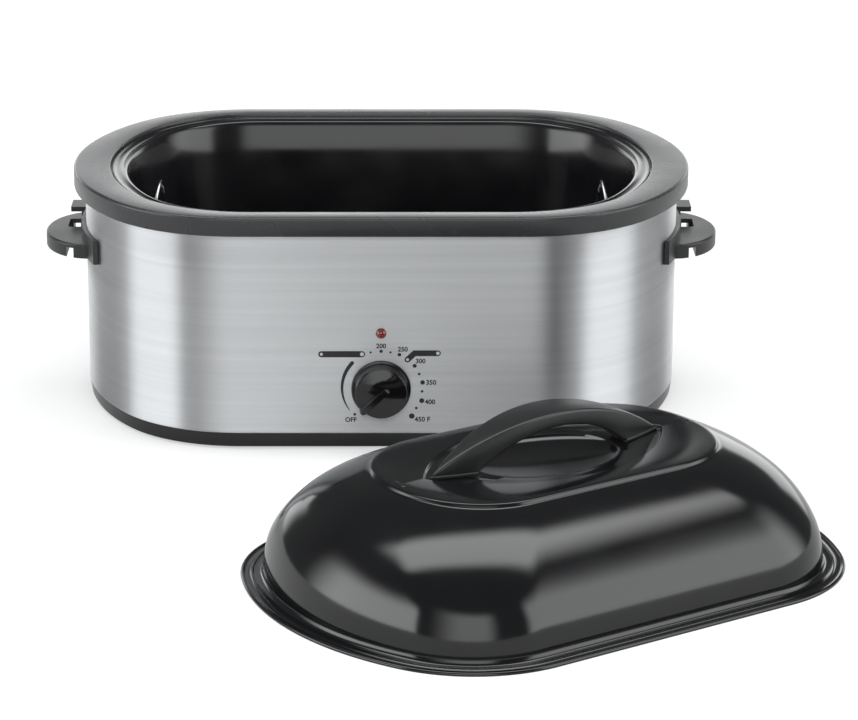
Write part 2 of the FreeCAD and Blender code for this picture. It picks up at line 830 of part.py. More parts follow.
def terminal_seat():
    """Height of the heater's terminals, and the Y where they stand on the band."""
    middle = dim("heater_bottom") + dim("heater_height") / 2
    upper = middle + dim("heater_terminal_radius")
    face = (MOUTH_DEPTH - well_inset(upper) + dim("slip_fit") * 2
            + dim("heater_wall"))
    return middle, face


def make_heater():
    """Heater band round the well, its rear terminals, and the blanket over it."""
    fit = dim("slip_fit")
    node(tapered_ring("HeaterBand", dim("heater_bottom"), dim("heater_height"), fit,
                      dim("heater_wall")), "heater_band")
    middle, face = terminal_seat()
    terminals = []
    for number, side in enumerate((-1, 1)):
        x = dim("heater_terminal_x") * side
        bead = cylinder("TerminalBead%d" % number, dim("heater_terminal_radius"),
                        dim("heater_terminal_length"), x, face, middle, "Y")
        terminals.append(bead)
    node(group("HeaterTerminals", terminals), "heater_terminals")
    gap = fit * 2 + dim("heater_wall")
    blanket = tapered_ring("BlanketBand", dim("blanket_bottom"), dim("blanket_height"), gap,
                           dim("blanket_wall"))
    deep = dim("window_half_width")
    front = box("BulbWindow", dim("window_half_width") * 2, deep, dim("window_height"),
                -dim("window_half_width"), -MOUTH_DEPTH - dim("blanket_wall"),
                dim("blanket_bottom") - 1)
    rear = box("TerminalWindow", dim("window_half_width") * 2, deep, dim("heater_height"),
               -dim("window_half_width"), MOUTH_DEPTH + dim("blanket_wall") - deep,
               dim("heater_bottom"))
    node(cut_all("Blanket", blanket, [front, rear]), "insulation_blanket")


def make_thermostat():
    """Thermostat with its neck and bracket, nut, bulb and clip behind the wrap."""
    bracket_face = WRAP_FRONT_INNER + dim("bracket_wall")
    half = dim("thermostat_width") / 2
    block = box("SwitchBlock", dim("thermostat_width"), dim("thermostat_depth"),
                dim("thermostat_height"), -half, bracket_face,
                KNOB_Z - dim("thermostat_height") / 2)
    neck_length = dim("neck_length") + dim("bracket_wall")
    neck = cylinder("SwitchNeck", dim("neck_radius"), neck_length, 0, bracket_face, KNOB_Z, "-Y")
    bore_radius = dim("shaft_radius") + dim("running_fit")
    bore_depth = dim("shaft_depth") + dim("slip_fit")
    bore = cylinder("SwitchBore", bore_radius, neck_length + bore_depth + 1, 0,
                    bracket_face + bore_depth, KNOB_Z, "-Y")
    node(cut("Thermostat", fuse("SwitchSolid", [block, neck]), bore), "thermostat_body")
    plate = box("BracketPlate", dim("bracket_width"), dim("bracket_wall"),
                dim("bracket_height"), dim("bracket_width") / -2, WRAP_FRONT_INNER,
                KNOB_Z - dim("bracket_height") / 2)
    hole = cylinder("BracketHole", dim("neck_radius") + dim("bore_fit"),
                    dim("bracket_wall") + 2, 0, WRAP_FRONT_INNER - 1, KNOB_Z, "Y")
    node(cut("Bracket", plate, hole), "thermostat_bracket")
    prism = DOCUMENT.addObject("Part::Prism", "NutPrism")
    prism.Polygon = 6
    prism.Placement.Rotation = AXIS_TURNS["-Y"]
    bind(prism, {"Circumradius": dim("nut_radius"), "Height": dim("nut_thickness")})
    put(prism, 0, WRAP_FRONT, KNOB_Z)
    nut_bore = cylinder("NutBore", dim("neck_radius") + dim("bore_fit"),
                        dim("nut_thickness") + 2, 0, WRAP_FRONT + 1, KNOB_Z, "-Y")
    node(cut("Nut", prism, nut_bore), "thermostat_nut")
    make_bulb(bracket_face + dim("thermostat_depth"))


def make_bulb(switch_back):
    """Sensing bulb clipped to the well, with its thin tube to the thermostat."""
    height = dim("bulb_height")
    wall_y = -(MOUTH_DEPTH - well_inset(height + dim("bulb_radius")))
    centre = wall_y - dim("bulb_radius") - dim("slip_fit")
    half = dim("bulb_length") / 2
    bulb = cylinder("BulbRod", dim("bulb_radius"), dim("bulb_length"), -half, centre, height, "X")
    start = FreeCAD.Vector(-float(half) + 1, float(centre), float(height))
    side = -float(half) - 8
    level = float(KNOB_Z)
    back = float(switch_back) - 4
    points = [start, FreeCAD.Vector(side, float(centre), float(height)),
              FreeCAD.Vector(side, float(centre) - 3, level),
              FreeCAD.Vector(side, back, level),
              FreeCAD.Vector(-float(dim("thermostat_width")) / 2, back, level)]
    tube = DOCUMENT.addObject("Part::Feature", "Capillary")
    tube.Shape = round_tube(points, float(dim("capillary_radius")))
    node(fuse("Bulb", [bulb, tube]), "sensing_bulb")
    clip_depth = dim("bulb_radius") * 2 + dim("slip_fit") * 2
    clip_height = dim("bulb_radius") * 2 + 6
    block = box("ClipBlock", dim("bulb_clip_width"), clip_depth, clip_height,
                dim("bulb_clip_width") / -2, centre - dim("bulb_radius") - 1,
                height - clip_height / 2)
    groove = cylinder("ClipGroove", dim("bulb_radius") + dim("slip_fit") / 2,
                      dim("bulb_clip_width") + 2, dim("bulb_clip_width") / -2 - 1, centre,
                      height, "X")
    slot = box("ClipMouth", dim("bulb_clip_width") + 2, clip_depth,
               dim("bulb_radius") * 2 + dim("slip_fit"), dim("bulb_clip_width") / -2 - 1,
               centre, height - dim("bulb_radius") - dim("slip_fit") / 2)
    node(cut_all("BulbClip", block, [groove, slot]), "bulb_clip")


def round_tube(points, radius):
    """A round tube along straight runs that are joined by tangent arcs."""
    edges = []
    here = points[0]
    for before, corner, after in zip(points, points[1:], points[2:]):
        arrive = corner - before
        leave = after - corner
        turn = arrive.getAngle(leave)
        reach = 0.45 * min(arrive.Length, leave.Length)
        bend = reach / math.tan(turn / 2)
        arrive.normalize()
        leave.normalize()
        first = corner - arrive * reach
        last = corner + leave * reach
        inward = leave - arrive
        inward.normalize()
        apex = corner + inward * (bend / math.cos(turn / 2) - bend)
        edges.append(Part.LineSegment(here, first).toShape())
        edges.append(Part.Arc(first, apex, last).toShape())
        here = last
    edges.append(Part.LineSegment(here, points[-1]).toShape())
    path = Part.Wire(edges)
    direction = points[1] - points[0]
    section = Part.Wire([Part.Circle(points[0], direction, radius).toShape()])
    return path.makePipeShell([section], True, False)


def make_shaft_and_knob():
    """Thermostat shaft and the temperature knob on it."""
    shaft_start = WRAP_FRONT_INNER + dim("bracket_wall") + dim("shaft_depth")
    shaft = cylinder("ShaftRod", dim("shaft_radius"), dim("shaft_length"), 0, shaft_start,
                     KNOB_Z, "-Y")
    node(shaft, "thermostat_shaft")
    back = WRAP_FRONT - dim("knob_gap")
    side_start = back - dim("knob_skirt")
    face = side_start - dim("knob_side")
    skirt = cylinder("KnobSkirt", dim("knob_radius"), dim("knob_skirt"), 0, back, KNOB_Z, "-Y")
    side = cone("KnobSide", dim("knob_radius") - 1, dim("knob_face_radius"), dim("knob_side"),
                0, side_start, KNOB_Z, "-Y")
    crown = make_crown(face)
    hollow = cylinder("KnobHollow", dim("knob_hollow_radius"), dim("knob_hollow_depth"), 0,
                      back, KNOB_Z, "-Y")
    hub_length = dim("knob_skirt") + dim("knob_side") / 2 - dim("slip_fit") - dim("neck_length")
    hub_start = WRAP_FRONT - dim("neck_length") - dim("slip_fit")
    hub = cylinder("KnobHub", dim("knob_hub_radius"), hub_length, 0, hub_start, KNOB_Z, "-Y")
    bore_end = dim("shaft_length") - dim("shaft_depth") - dim("bracket_wall") - dim("wrap_wall")
    bore = cylinder("KnobBore", dim("shaft_radius") + dim("snug_fit"),
                    bore_end + dim("slip_fit"), 0, WRAP_FRONT, KNOB_Z, "-Y")
    shell = cut("KnobShell", fuse("KnobSolid", [skirt, side, crown, make_pointer(face)]), hollow)
    knob = cut("Knob", fuse("KnobWithHub", [shell, hub]), bore)
    node(knob, "temperature_knob")


def make_crown(face):
    """The slightly domed front of the knob: a cap cut from a large ball."""
    rise = dim("knob_crown")
    radius = (dim("knob_face_radius") * dim("knob_face_radius") + rise * rise) / (rise * 2)
    ball = DOCUMENT.addObject("Part::Sphere", "CrownBall")
    bind(ball, {"Radius": radius})
    put(ball, 0, face - rise + radius, KNOB_Z)
    band = cylinder("CrownBand", dim("knob_face_radius"), rise + 1, 0, face, KNOB_Z, "-Y")
    return common("KnobCrown", ball, band)


def make_pointer(face):
    """Raised bar on the knob from behind its centre to its edge, turned to off."""
    body = new_body("PointerBar")
    sketch = new_sketch(body, "PointerOutline", "XY_Plane", 0)
    half = dim("pointer_width") / 2
    tail = dim("pointer_tail")
    tip = dim("knob_radius") - 1
    corners = ((-half, -tail), (half, -tail), (half, tip - half), (as_size(0), tip),
               (-half, tip - half))
    add_polygon(sketch, corners)
    depth = dim("knob_side") + dim("knob_crown") + dim("pointer_rise")
    pad(body, "PointerPad", sketch, depth)
    turn = FreeCAD.Rotation(FreeCAD.Vector(0, 1, 0), -DIMENSIONS["pointer_angle"])
    body.Placement.Rotation = turn.multiply(AXIS_TURNS["-Y"])
    put(body, 0, face + dim("knob_side"), KNOB_Z)
    return body


def add_polygon(sketch, corners):
    """Add a closed polygon whose corners are bound to the sheet."""
    first = sketch.GeometryCount
    count = len(corners)
    points = [FreeCAD.Vector(float(x), float(y), 0) for x, y in corners]
    lines = [Part.LineSegment(points[i], points[(i + 1) % count]) for i in range(count)]
    sketch.addGeometry(lines, False)
    for i in range(count):
        joint = Sketcher.Constraint("Coincident", first + i, 2, first + (i + 1) % count, 1)
        sketch.addConstraint(joint)
    for i, (x, y) in enumerate(corners):
        hold_point(sketch, first + i, 1, x, y, "Corner%d" % i)


def hold_point(sketch, geometry, end, x, y, name):
    """Bind one point of a sketch to a place."""
    for kind, size, tag in (("DistanceX", x, "X"), ("DistanceY", y, "Y")):
        value = float(size)
        if abs(value) < 1e-9:
            axis = -2 if tag == "X" else -1
            sketch.addConstraint(Sketcher.Constraint("PointOnObject", geometry, end, axis))
        elif value > 0:
            hold(sketch, Sketcher.Constraint(kind, -1, 1, geometry, end, value), size,
                 name + tag)
        else:
            hold(sketch, Sketcher.Constraint(kind, geometry, end, -1, 1, -value), -size,
                 name + tag)


def make_indicator():
    """Red jewel in the wrap, with the lamp and its holder behind."""
    height = dim("lens_height")
    flange = cylinder("LensFlange", dim("lens_radius"), dim("lens_flange"), 0, WRAP_FRONT,
                      height, "-Y")
    rise = dim("lens_dome")
    base = dim("lens_radius") - 0.4
    radius = (base * base + rise * rise) / (rise * 2)
    face = WRAP_FRONT - dim("lens_flange")
    ball = DOCUMENT.addObject("Part::Sphere", "LensBall")
    bind(ball, {"Radius": radius})
    put(ball, 0, face - rise + radius, height)
    band = cylinder("LensBand", base, rise + 1, 0, face, height, "-Y")
    dome = common("LensDome", ball, band)
    neck_end = WRAP_FRONT_INNER + dim("lens_neck_length")
    neck = cylinder("LensNeck", dim("lens_neck_radius"), neck_end - WRAP_FRONT, 0, WRAP_FRONT,
                    height, "Y")
    node(fuse("Lens", [flange, dome, neck]), "indicator_lens")
    holder_radius = dim("lens_neck_radius") + dim("bore_fit") + dim("lamp_holder_wall")
    holder_length = dim("lens_neck_length") + dim("lamp_length")
    tube = cylinder("HolderTube", holder_radius, holder_length, 0, WRAP_FRONT_INNER, height, "Y")
    bore = cylinder("HolderBore", dim("lens_neck_radius") + dim("bore_fit"),
                    holder_length - dim("lamp_holder_wall"), 0, WRAP_FRONT_INNER, height, "Y")
    node(cut("Holder", tube, bore), "indicator_holder")
    lamp = cylinder("Lamp", dim("lamp_radius"),
                    dim("lamp_length") - dim("lamp_holder_wall") - dim("slip_fit"), 0,
                    neck_end + dim("slip_fit"), height, "Y")
    node(lamp, "indicator_lamp")


def make_supply():
    """Terminal block, cord gland with its nut, and the inner leads."""
    block_x = dim("block_x")
    block = box("Block", dim("block_width"), dim("block_depth"), dim("block_height"), block_x,
                BLOCK_Y, SHIELD_TOP)
    node(block, "terminal_block")
    x = dim("gland_x")
    z = dim("gland_height")
    flange = cylinder("GlandFlange", dim("gland_flange_radius"), dim("gland_flange"), x,
                      WRAP_REAR, z, "Y")
    neck = cylinder("GlandNeck", dim("gland_neck_radius"), dim("gland_neck_length"), x,
                    WRAP_REAR, z, "-Y")
    step = WRAP_REAR + dim("slip_fit")
    bore = cylinder("GlandBore", dim("gland_bore_radius"), dim("gland_flange") * 2, x, step, z,
                    "Y")
    wide = cylinder("GlandNeckBore", dim("gland_neck_bore"), dim("gland_neck_length") * 2, x,
                    step, z, "-Y")
    node(cut_all("Gland", fuse("GlandSolid", [flange, neck]), [bore, wide]), "cord_gland")
    ring = cylinder("GlandNutRing", dim("gland_flange_radius"), dim("gland_nut"), x,
                    WRAP_REAR_INNER, z, "-Y")
    hole = cylinder("GlandNutHole", dim("gland_neck_radius") + dim("bore_fit"),
                    dim("gland_nut") + 2, x, WRAP_REAR_INNER + 1, z, "-Y")
    node(cut("GlandNut", ring, hole), "gland_nut")
    make_leads()


def make_leads():
    """Leads from the block: under the well to the thermostat, and to the heater."""
    radius = float(dim("lead_radius"))
    step = float(dim("lead_step"))
    level = float(SHIELD_TOP + dim("lead_level"))
    left = float(dim("block_x"))
    rear = float(BLOCK_Y) + float(dim("block_depth")) / 2
    switch_x = float(dim("thermostat_width")) / 2
    switch_y = float(WRAP_FRONT_INNER + dim("bracket_wall")) + float(dim("thermostat_depth")) / 2
    supply = [(left, rear, level), (left - 2.6 * step, rear, level),
              (left - 4 * step, rear * 0.69, level), (-0.6 * step, rear * 0.34, level),
              (0.4 * step, 0, level), (0.6 * step, switch_y * 0.31, level),
              (2.2 * step, switch_y * 0.63, level), (3.4 * step, switch_y * 0.855, level),
              (switch_x + 1.4 * step, switch_y, float(KNOB_Z)),
              (switch_x, switch_y, float(KNOB_Z))]
    tube = DOCUMENT.addObject("Part::Feature", "SupplyLead")
    tube.Shape = round_tube([FreeCAD.Vector(*point) for point in supply], radius)
    node(tube, "supply_lead")
    middle, face = terminal_seat()
    bead_y = float(face + dim("heater_terminal_length") / 2)
    bottom = float(middle - dim("heater_terminal_radius"))
    block_top = float(SHIELD_TOP + dim("block_height"))
    tubes = []
    for number, side in enumerate((-1, 1)):
        end_x = float(dim("heater_terminal_x")) * side
        start_x = left + float(dim("block_width")) / 2 + step * side
        points = [(start_x, rear, block_top), (start_x, rear, block_top + 1.2 * step),
                  ((start_x + end_x) / 2, rear + 0.6 * step, block_top + 2.6 * step),
                  (end_x, bead_y, bottom - 1.6 * step), (end_x, bead_y, bottom)]
        lead = DOCUMENT.addObject("Part::Feature", "HeaterLead%d" % number)
        lead.Shape = round_tube([FreeCAD.Vector(*point) for point in points], radius)
        tubes.append(lead)
    node(group("HeaterLeads", tubes), "heater_leads")


def plate_middle():
    """Height of the middle of the handle's wall plate."""
    return dim("handle_top") - dim("handle_thickness") + dim("plate_height") / 2 + 3


def wall_sector(name, inner_radius, wall, half_length, bottom, height):
    """A plate bent to the wrap's left end, as long as half_length each way."""
    centre = -WRAP_END_CENTRE
    outer = cylinder(name + "Outer", inner_radius + wall, height, centre, 0, bottom)
    inner = cylinder(name + "Inner", inner_radius, height + 2, centre, 0, bottom - 1)
    ring = cut(name + "Ring", outer, inner)
    reach = inner_radius + wall
    limit = box(name + "Limit", reach, half_length * 2, height, centre - reach, -half_length,
                bottom)
    return common(name, ring, limit)


def screw_reach():
    """X of a handle screw's inner end on the right, and its whole length."""
    inner = WRAP_END_RADIUS - dim("wrap_wall") - dim("slip_fit") - dim("backing_wall")
    edge = dim("handle_screw_y") + dim("handle_screw_head_radius")
    seat = WRAP_END_CENTRE + root_of(inner * inner - edge * edge) - dim("slip_fit") / 2
    through = dim("backing_wall") + dim("wrap_wall") + dim("slip_fit") * 2
    length = dim("handle_screw_head") + through + dim("plate_wall")
    return seat - dim("handle_screw_head"), length


def make_left_handle():
    """Left handle: a wing with a lid slot, a wall plate and a raised tab."""
    fit = dim("slip_fit")
    bottom = dim("handle_top") - dim("handle_thickness")
    plate = wall_sector("HandlePlate", WRAP_END_RADIUS + fit, dim("plate_wall"),
                        dim("plate_half_length"), plate_middle() - dim("plate_height") / 2,
                        dim("plate_height"))
    ellipse = DOCUMENT.addObject("Part::Ellipse", "WingEllipse")
    bind(ellipse, {"MajorRadius": dim("handle_half_length"), "MinorRadius": dim("handle_reach")})
    ellipse.Placement.Rotation = FreeCAD.Rotation(FreeCAD.Vector(0, 0, 1), 90)
    put(ellipse, -HANDLE_ROOT, 0, bottom)
    prism = DOCUMENT.addObject("Part::Extrusion", "WingPrism")
    prism.Base = ellipse
    prism.DirMode = "Custom"
    prism.Dir = FreeCAD.Vector(0, 0, 1)
    prism.Solid = True
    bind(prism, {"LengthFwd": dim("handle_thickness")})
    DOCUMENT.recompute()
    wing = DOCUMENT.addObject("Part::Fillet", "Wing")
    wing.Base = prism
    radius = DIMENSIONS["handle_edge_round"]
    wing.Edges = [(number, radius, radius) for number, edge in enumerate(prism.Shape.Edges, 1)
                  if edge.BoundBox.ZLength < 0.01]
    tab_bottom = dim("handle_top") + dim("tab_gap")
    tab_end = WRAP_END + fit + dim("plate_wall")
    tab_outer = -tab_end - dim("tab_width") + dim("plate_wall")
    tab = box("Tab", dim("tab_width") + 12, dim("tab_length"), dim("tab_wall"), tab_outer,
              dim("tab_start"), tab_bottom)
    riser_x = dim("slot_offset") + HANDLE_ROOT - 1
    riser = box("TabRiser", dim("plate_wall") + 14, dim("tab_length"),
                dim("tab_gap") + dim("handle_thickness"), -riser_x, dim("tab_start"),
                tab_bottom - dim("tab_gap") - dim("handle_thickness"))
    keep_out = cylinder("HandleClear", WRAP_END_RADIUS + fit, dim("handle_thickness") * 6,
                        -WRAP_END_CENTRE, 0, bottom - dim("handle_thickness"))
    slot_x = -HANDLE_ROOT - dim("slot_offset") - dim("slot_width")
    slot = box("LidSlot", dim("slot_width"), dim("handle_half_length") * 2 + 10,
               dim("slot_depth") + 1, slot_x, -dim("handle_half_length") - 5, bottom - 1)
    hole = box("LidHole", dim("hole_width"), dim("hole_length"), dim("handle_thickness") + 2,
               slot_x - 3, dim("hole_start"), bottom - 1)
    tools = [keep_out, slot, hole]
    head_start, screw_length = screw_reach()
    for number, along in enumerate((-1, 1)):
        tools.append(cylinder("HandleBore%d" % number,
                              dim("handle_screw_radius") + dim("snug_fit"),
                              screw_length + fit, -head_start, dim("handle_screw_y") * along,
                              plate_middle(), "-X"))
    solid = fuse("HandleSolid", [plate, wing, tab, riser])
    return node(cut_all("LeftHandle", solid, tools), "side_handle_left")


def make_handles():
    """Both handles with their inner plates and screws."""
    left = make_left_handle()
    right = DOCUMENT.addObject("Part::Mirroring", "RightHandle")
    right.Source = left
    right.Normal = FreeCAD.Vector(1, 0, 0)
    node(right, "side_handle_right")
    fit = dim("slip_fit")
    middle = plate_middle()
    outer = WRAP_END_RADIUS - dim("wrap_wall") - fit
    sector = wall_sector("Backing", outer - dim("backing_wall"), dim("backing_wall"),
                         dim("backing_half_length"), middle - dim("backing_height") / 2,
                         dim("backing_height"))
    holes = [cylinder("BackingHole%d" % number, dim("handle_screw_radius") + dim("bore_fit"),
                      40, -WRAP_END - 5, dim("handle_screw_y") * along, middle, "X")
             for number, along in enumerate((-1, 1))]
    left_plate = node(cut_all("LeftBacking", sector, holes), "handle_backing_left")
    right_plate = DOCUMENT.addObject("Part::Mirroring", "RightBacking")
    right_plate.Source = left_plate
    right_plate.Normal = FreeCAD.Vector(1, 0, 0)
    node(right_plate, "handle_backing_right")
    screws = []
    head_start, screw_length = screw_reach()
    for number, (side, along) in enumerate(CORNERS):
        axis = "X" if side > 0 else "-X"
        x = head_start * side
        y = dim("handle_screw_y") * along
        head = cylinder("GripHead%d" % number, dim("handle_screw_head_radius"),
                        dim("handle_screw_head"), x, y, middle, axis)
        shank = cylinder("GripShank%d" % number, dim("handle_screw_radius"), screw_length, x, y,
                         middle, axis)
        screws.append(fuse("HandleScrew%d" % number, [head, shank]))
    node(group("HandleScrews", screws), "handle_screws")


def make_pan():
    """Roasting pan: a tub with a flat flange and a rolled rim."""
    wall = dim("pan_wall")
    outer = tub("PanOuter", "mouth", LEDGE_TOP + wall, dim("pan_top_inset"), PAN_BOTTOM,
                dim("pan_bottom_inset"), dim("pan_corner"))
    flange = oval_slab("PanFlange", "mouth", dim("pan_seat_clearance"), LEDGE_TOP, wall)
    rim = oval_slab("PanRim", "mouth", dim("pan_seat_clearance"), LEDGE_TOP,
                    dim("pan_rim_height"))
    dish = oval_slab("PanRimInside", "mouth", dim("pan_seat_clearance") + dim("pan_rim_width"),
                     LEDGE_TOP - 1, dim("pan_rim_height") + 2)
    ring = cut("PanRimRing", rim, dish)
    inner = tub("PanInner", "mouth", LEDGE_TOP + wall, dim("pan_top_inset") + wall,
                PAN_BOTTOM + wall, dim("pan_bottom_inset") + wall, dim("pan_corner") - wall)
    node(cut("Pan", fuse("PanSolid", [outer, flange, ring]), inner), "roasting_pan")


def oval_wire(family, inset, height):
    """An oval outline as a wire, for the rack's frame."""
    corner_x, corner_y, end_centre, corner, end = [
        float(size) for size in oval_sizes(family, as_size(inset))]
    turn = math.atan2(corner_y, corner_x - end_centre)

    def at(x, y, radius, angle):
        return FreeCAD.Vector(x + radius * math.cos(angle), y + radius * math.sin(angle), height)

    def arc(x, y, radius, start, stop):
        middle = (start + stop) / 2
        return Part.Arc(at(x, y, radius, start), at(x, y, radius, middle),
                        at(x, y, radius, stop)).toShape()

    quarter = math.pi / 2
    half = math.pi
    high = corner_y + corner
    return Part.Wire([
        arc(end_centre, 0, end, -turn, turn),
        arc(corner_x, corner_y, corner, turn, quarter),
        Part.LineSegment(FreeCAD.Vector(corner_x, high, height),
                         FreeCAD.Vector(-corner_x, high, height)).toShape(),
        arc(-corner_x, corner_y, corner, quarter, half - turn),
        arc(-end_centre, 0, end, half - turn, half + turn),
        arc(-corner_x, -corner_y, corner, half + turn, half + quarter),
        Part.LineSegment(FreeCAD.Vector(-corner_x, -high, height),
                         FreeCAD.Vector(corner_x, -high, height)).toShape(),
        arc(corner_x, -corner_y, corner, half + quarter, half * 2 - turn),
    ])


def rack_level():
    """Height of the rack's frame wire above the counter."""
    return PAN_BOTTOM + dim("pan_wall") + dim("rack_leg") + dim("rack_wire")


def make_rack():
    """Wire rack: an oval frame with cross wires, on two bearers and four legs."""
    wire = float(dim("rack_wire"))
    thin = float(dim("rack_cross_wire"))
    inset = dim("rack_inset")
    floor = float(PAN_BOTTOM + dim("pan_wall"))
    level = float(rack_level())
    path = oval_wire("mouth", inset, level)
    start = path.Edges[0].valueAt(path.Edges[0].FirstParameter)
    direction = path.Edges[0].tangentAt(path.Edges[0].FirstParameter)
    section = Part.Wire([Part.Circle(start, direction, wire).toShape()])
    shapes = [path.makePipeShell([section], True, False)]
    half_width = float(MOUTH_WIDTH - inset)
    face = Part.Face(path)
    count = int(DIMENSIONS["rack_cross_count"])
    outermost = half_width * DIMENSIONS["rack_cross_share"]
    for number in range(count):
        x = outermost * (2 * number / (count - 1) - 1)
        line = Part.LineSegment(FreeCAD.Vector(x, -half_width, level),
                                FreeCAD.Vector(x, half_width, level)).toShape()
        length = line.common(face).BoundBox.YLength
        shapes.append(Part.makeCylinder(thin, length, FreeCAD.Vector(x, -length / 2, level),
                                        FreeCAD.Vector(0, 1, 0)))
    bearer_y = float(dim("rack_bearer_y"))
    low = level - thin
    flat = face.copy()
    flat.translate(FreeCAD.Vector(0, 0, -thin))
    for y in (-bearer_y, bearer_y):
        line = Part.LineSegment(FreeCAD.Vector(-half_width, y, low),
                                FreeCAD.Vector(half_width, y, low)).toShape()
        length = line.common(flat).BoundBox.XLength
        shapes.append(Part.makeCylinder(thin, length, FreeCAD.Vector(-length / 2, y, low),
                                        FreeCAD.Vector(1, 0, 0)))
    leg_x = float(dim("rack_leg_x"))
    for side, along in CORNERS:
        shapes.append(Part.makeCylinder(float(dim("rack_leg_wire")), low + thin / 4 - floor,
                                        FreeCAD.Vector(side * leg_x, along * bearer_y, floor)))
    rack = DOCUMENT.addObject("Part::Feature", "Rack")
    rack.Shape = shapes[0].multiFuse(shapes[1:])
    node(rack, "roasting_rack")
    loops = DOCUMENT.addObject("Part::Feature", "RackLoops")
    loops.Shape = Part.makeCompound([rack_loop(side, level + wire) for side in (-1, 1)])
    node(loops, "rack_loops")


def rack_loop(side, foot_height):
    """One upright end loop that stands on the rack's frame and leans outwards."""
    half = float(dim("rack_handle_half_width"))
    top = foot_height + float(dim("rack_handle_height"))
    end = float(MOUTH_END - dim("rack_inset"))
    centre = float(MOUTH_WIDTH - MOUTH_END)
    foot = centre + math.sqrt(end * end - half * half)
    lean = float(dim("rack_handle_lean"))
    stub = foot_height + float(dim("rack_handle_stub"))
    points = [(foot, -half, foot_height), (foot, -half, stub), (foot + lean, -half, top),
              (foot + lean, half, top), (foot, half, stub), (foot, half, foot_height)]
    return loop_tube([FreeCAD.Vector(side * x, y, z) for x, y, z in points],
                     float(dim("rack_loop_wire")), float(dim("rack_handle_bend")))


def loop_tube(points, radius, bend):
    """A round wire along straight runs with corners of one bend radius."""
    edges = []
    here = points[0]
    for before, corner, after in zip(points, points[1:], points[2:]):
        arrive = corner - before
        leave = after - corner
        turn = arrive.getAngle(leave)
        reach = bend * math.tan(turn / 2)
        arrive.normalize()
        leave.normalize()
        inward = leave - arrive
        inward.normalize()
        first = corner - arrive * reach
        last = corner + leave * reach
        apex = corner + inward * (bend / math.cos(turn / 2) - bend)
        edges.append(Part.LineSegment(here, first).toShape())
        edges.append(Part.Arc(first, apex, last).toShape())
        here = last
    edges.append(Part.LineSegment(here, points[-1]).toShape())
    section = Part.Wire([Part.Circle(points[0], points[1] - points[0], radius).toShape()])
    return Part.Wire(edges).makePipeShell([section], True, False)


def dome(name, wall):
    """The lid's dome as a solid, smaller by a wall on every side."""
    body = new_body(name)
    foot = dim("lid_clearance") + dim("lid_flange_width")
    sections = (
        ("mouth", foot + wall, as_size(0)),
        ("mouth", foot + dim("lid_side_draft") + wall, dim("lid_side_height")),
        ("shoulder", as_size(wall), dim("shoulder_height") - wall),
        ("crown", as_size(wall), dim("crown_height") - wall),
    )
    sketches = [oval_sketch(body, "%sSection%d" % (name, number), family, inset, height)
                for number, (family, inset, height) in enumerate(sections)]
    loft(body, name + "Loft", sketches, False)
    return body


def lens_prism(name, half_length, half_width, bottom, height):
    """A prism whose outline is two equal arcs that meet in points at both ends."""
    radius = (half_length * half_length + half_width * half_width) / (half_width * 2)
    offset = radius - half_width
    front = cylinder(name + "Front", radius, height, 0, offset, bottom)
    rear = cylinder(name + "Rear", radius, height, 0, -offset, bottom)
    return common(name, front, rear)


def ellipse_bowl(name, half_length, half_width, depth, top):
    """The lower half of an ellipsoid with its rim at a height."""
    bowl = DOCUMENT.addObject("Part::Ellipsoid", name)
    bowl.Angle1 = -90
    bowl.Angle2 = 90
    bowl.Angle3 = 360
    bind(bowl, {"Radius1": depth, "Radius2": half_length, "Radius3": half_width})
    put(bowl, 0, 0, top)
    return bowl


# Heights and half sizes on the lid's top, in the lid's own frame
PANEL_TOP = dim("crown_height") + dim("panel_rise")
RECESS_FLOOR = PANEL_TOP - dim("recess_depth")
RECESS_LENGTH = CROWN_WIDTH - dim("recess_end_step")
RECESS_WIDTH = CROWN_DEPTH - dim("recess_side_step")
SCOOP_LENGTH = RECESS_LENGTH - dim("scoop_end_step")
SCOOP_WIDTH = RECESS_WIDTH - dim("scoop_side_step")
GRIP_LENGTH = RECESS_LENGTH - dim("grip_end_step")
GRIP_INNER = GRIP_LENGTH - dim("grip_foot_length")
GRIP_SCREW_X = GRIP_LENGTH - dim("grip_screw_inset")


def lid_solid(name, wall):
    """Dome with its raised panel and finger recess, shrunk by a wall."""
    top = PANEL_TOP - wall
    hill = dome(name + "Dome", wall)
    panel = oval_slab(name + "Panel", "crown", dim("panel_inset") + wall,
                      dim("shoulder_height"), top - dim("shoulder_height"))
    recess = lens_prism(name + "Recess", RECESS_LENGTH + wall,
                        RECESS_WIDTH + wall, RECESS_FLOOR - wall,
                        dim("recess_depth") + 2)
    scoop = ellipse_bowl(name + "Scoop", SCOOP_LENGTH + wall,
                         SCOOP_WIDTH + wall, dim("scoop_depth"),
                         RECESS_FLOOR - wall)
    whole = fuse(name + "Whole", [hill, panel])
    return cut_all(name, whole, [recess, scoop])


def lid_place(item):
    """Lay a lid piece on the counter in front of the roaster."""
    bind(item, {
        "Placement.Base.x": dim("lid_x"),
        "Placement.Base.y": dim("lid_y"),
        "Placement.Rotation.Angle": dim("lid_yaw"),
    })
    return item


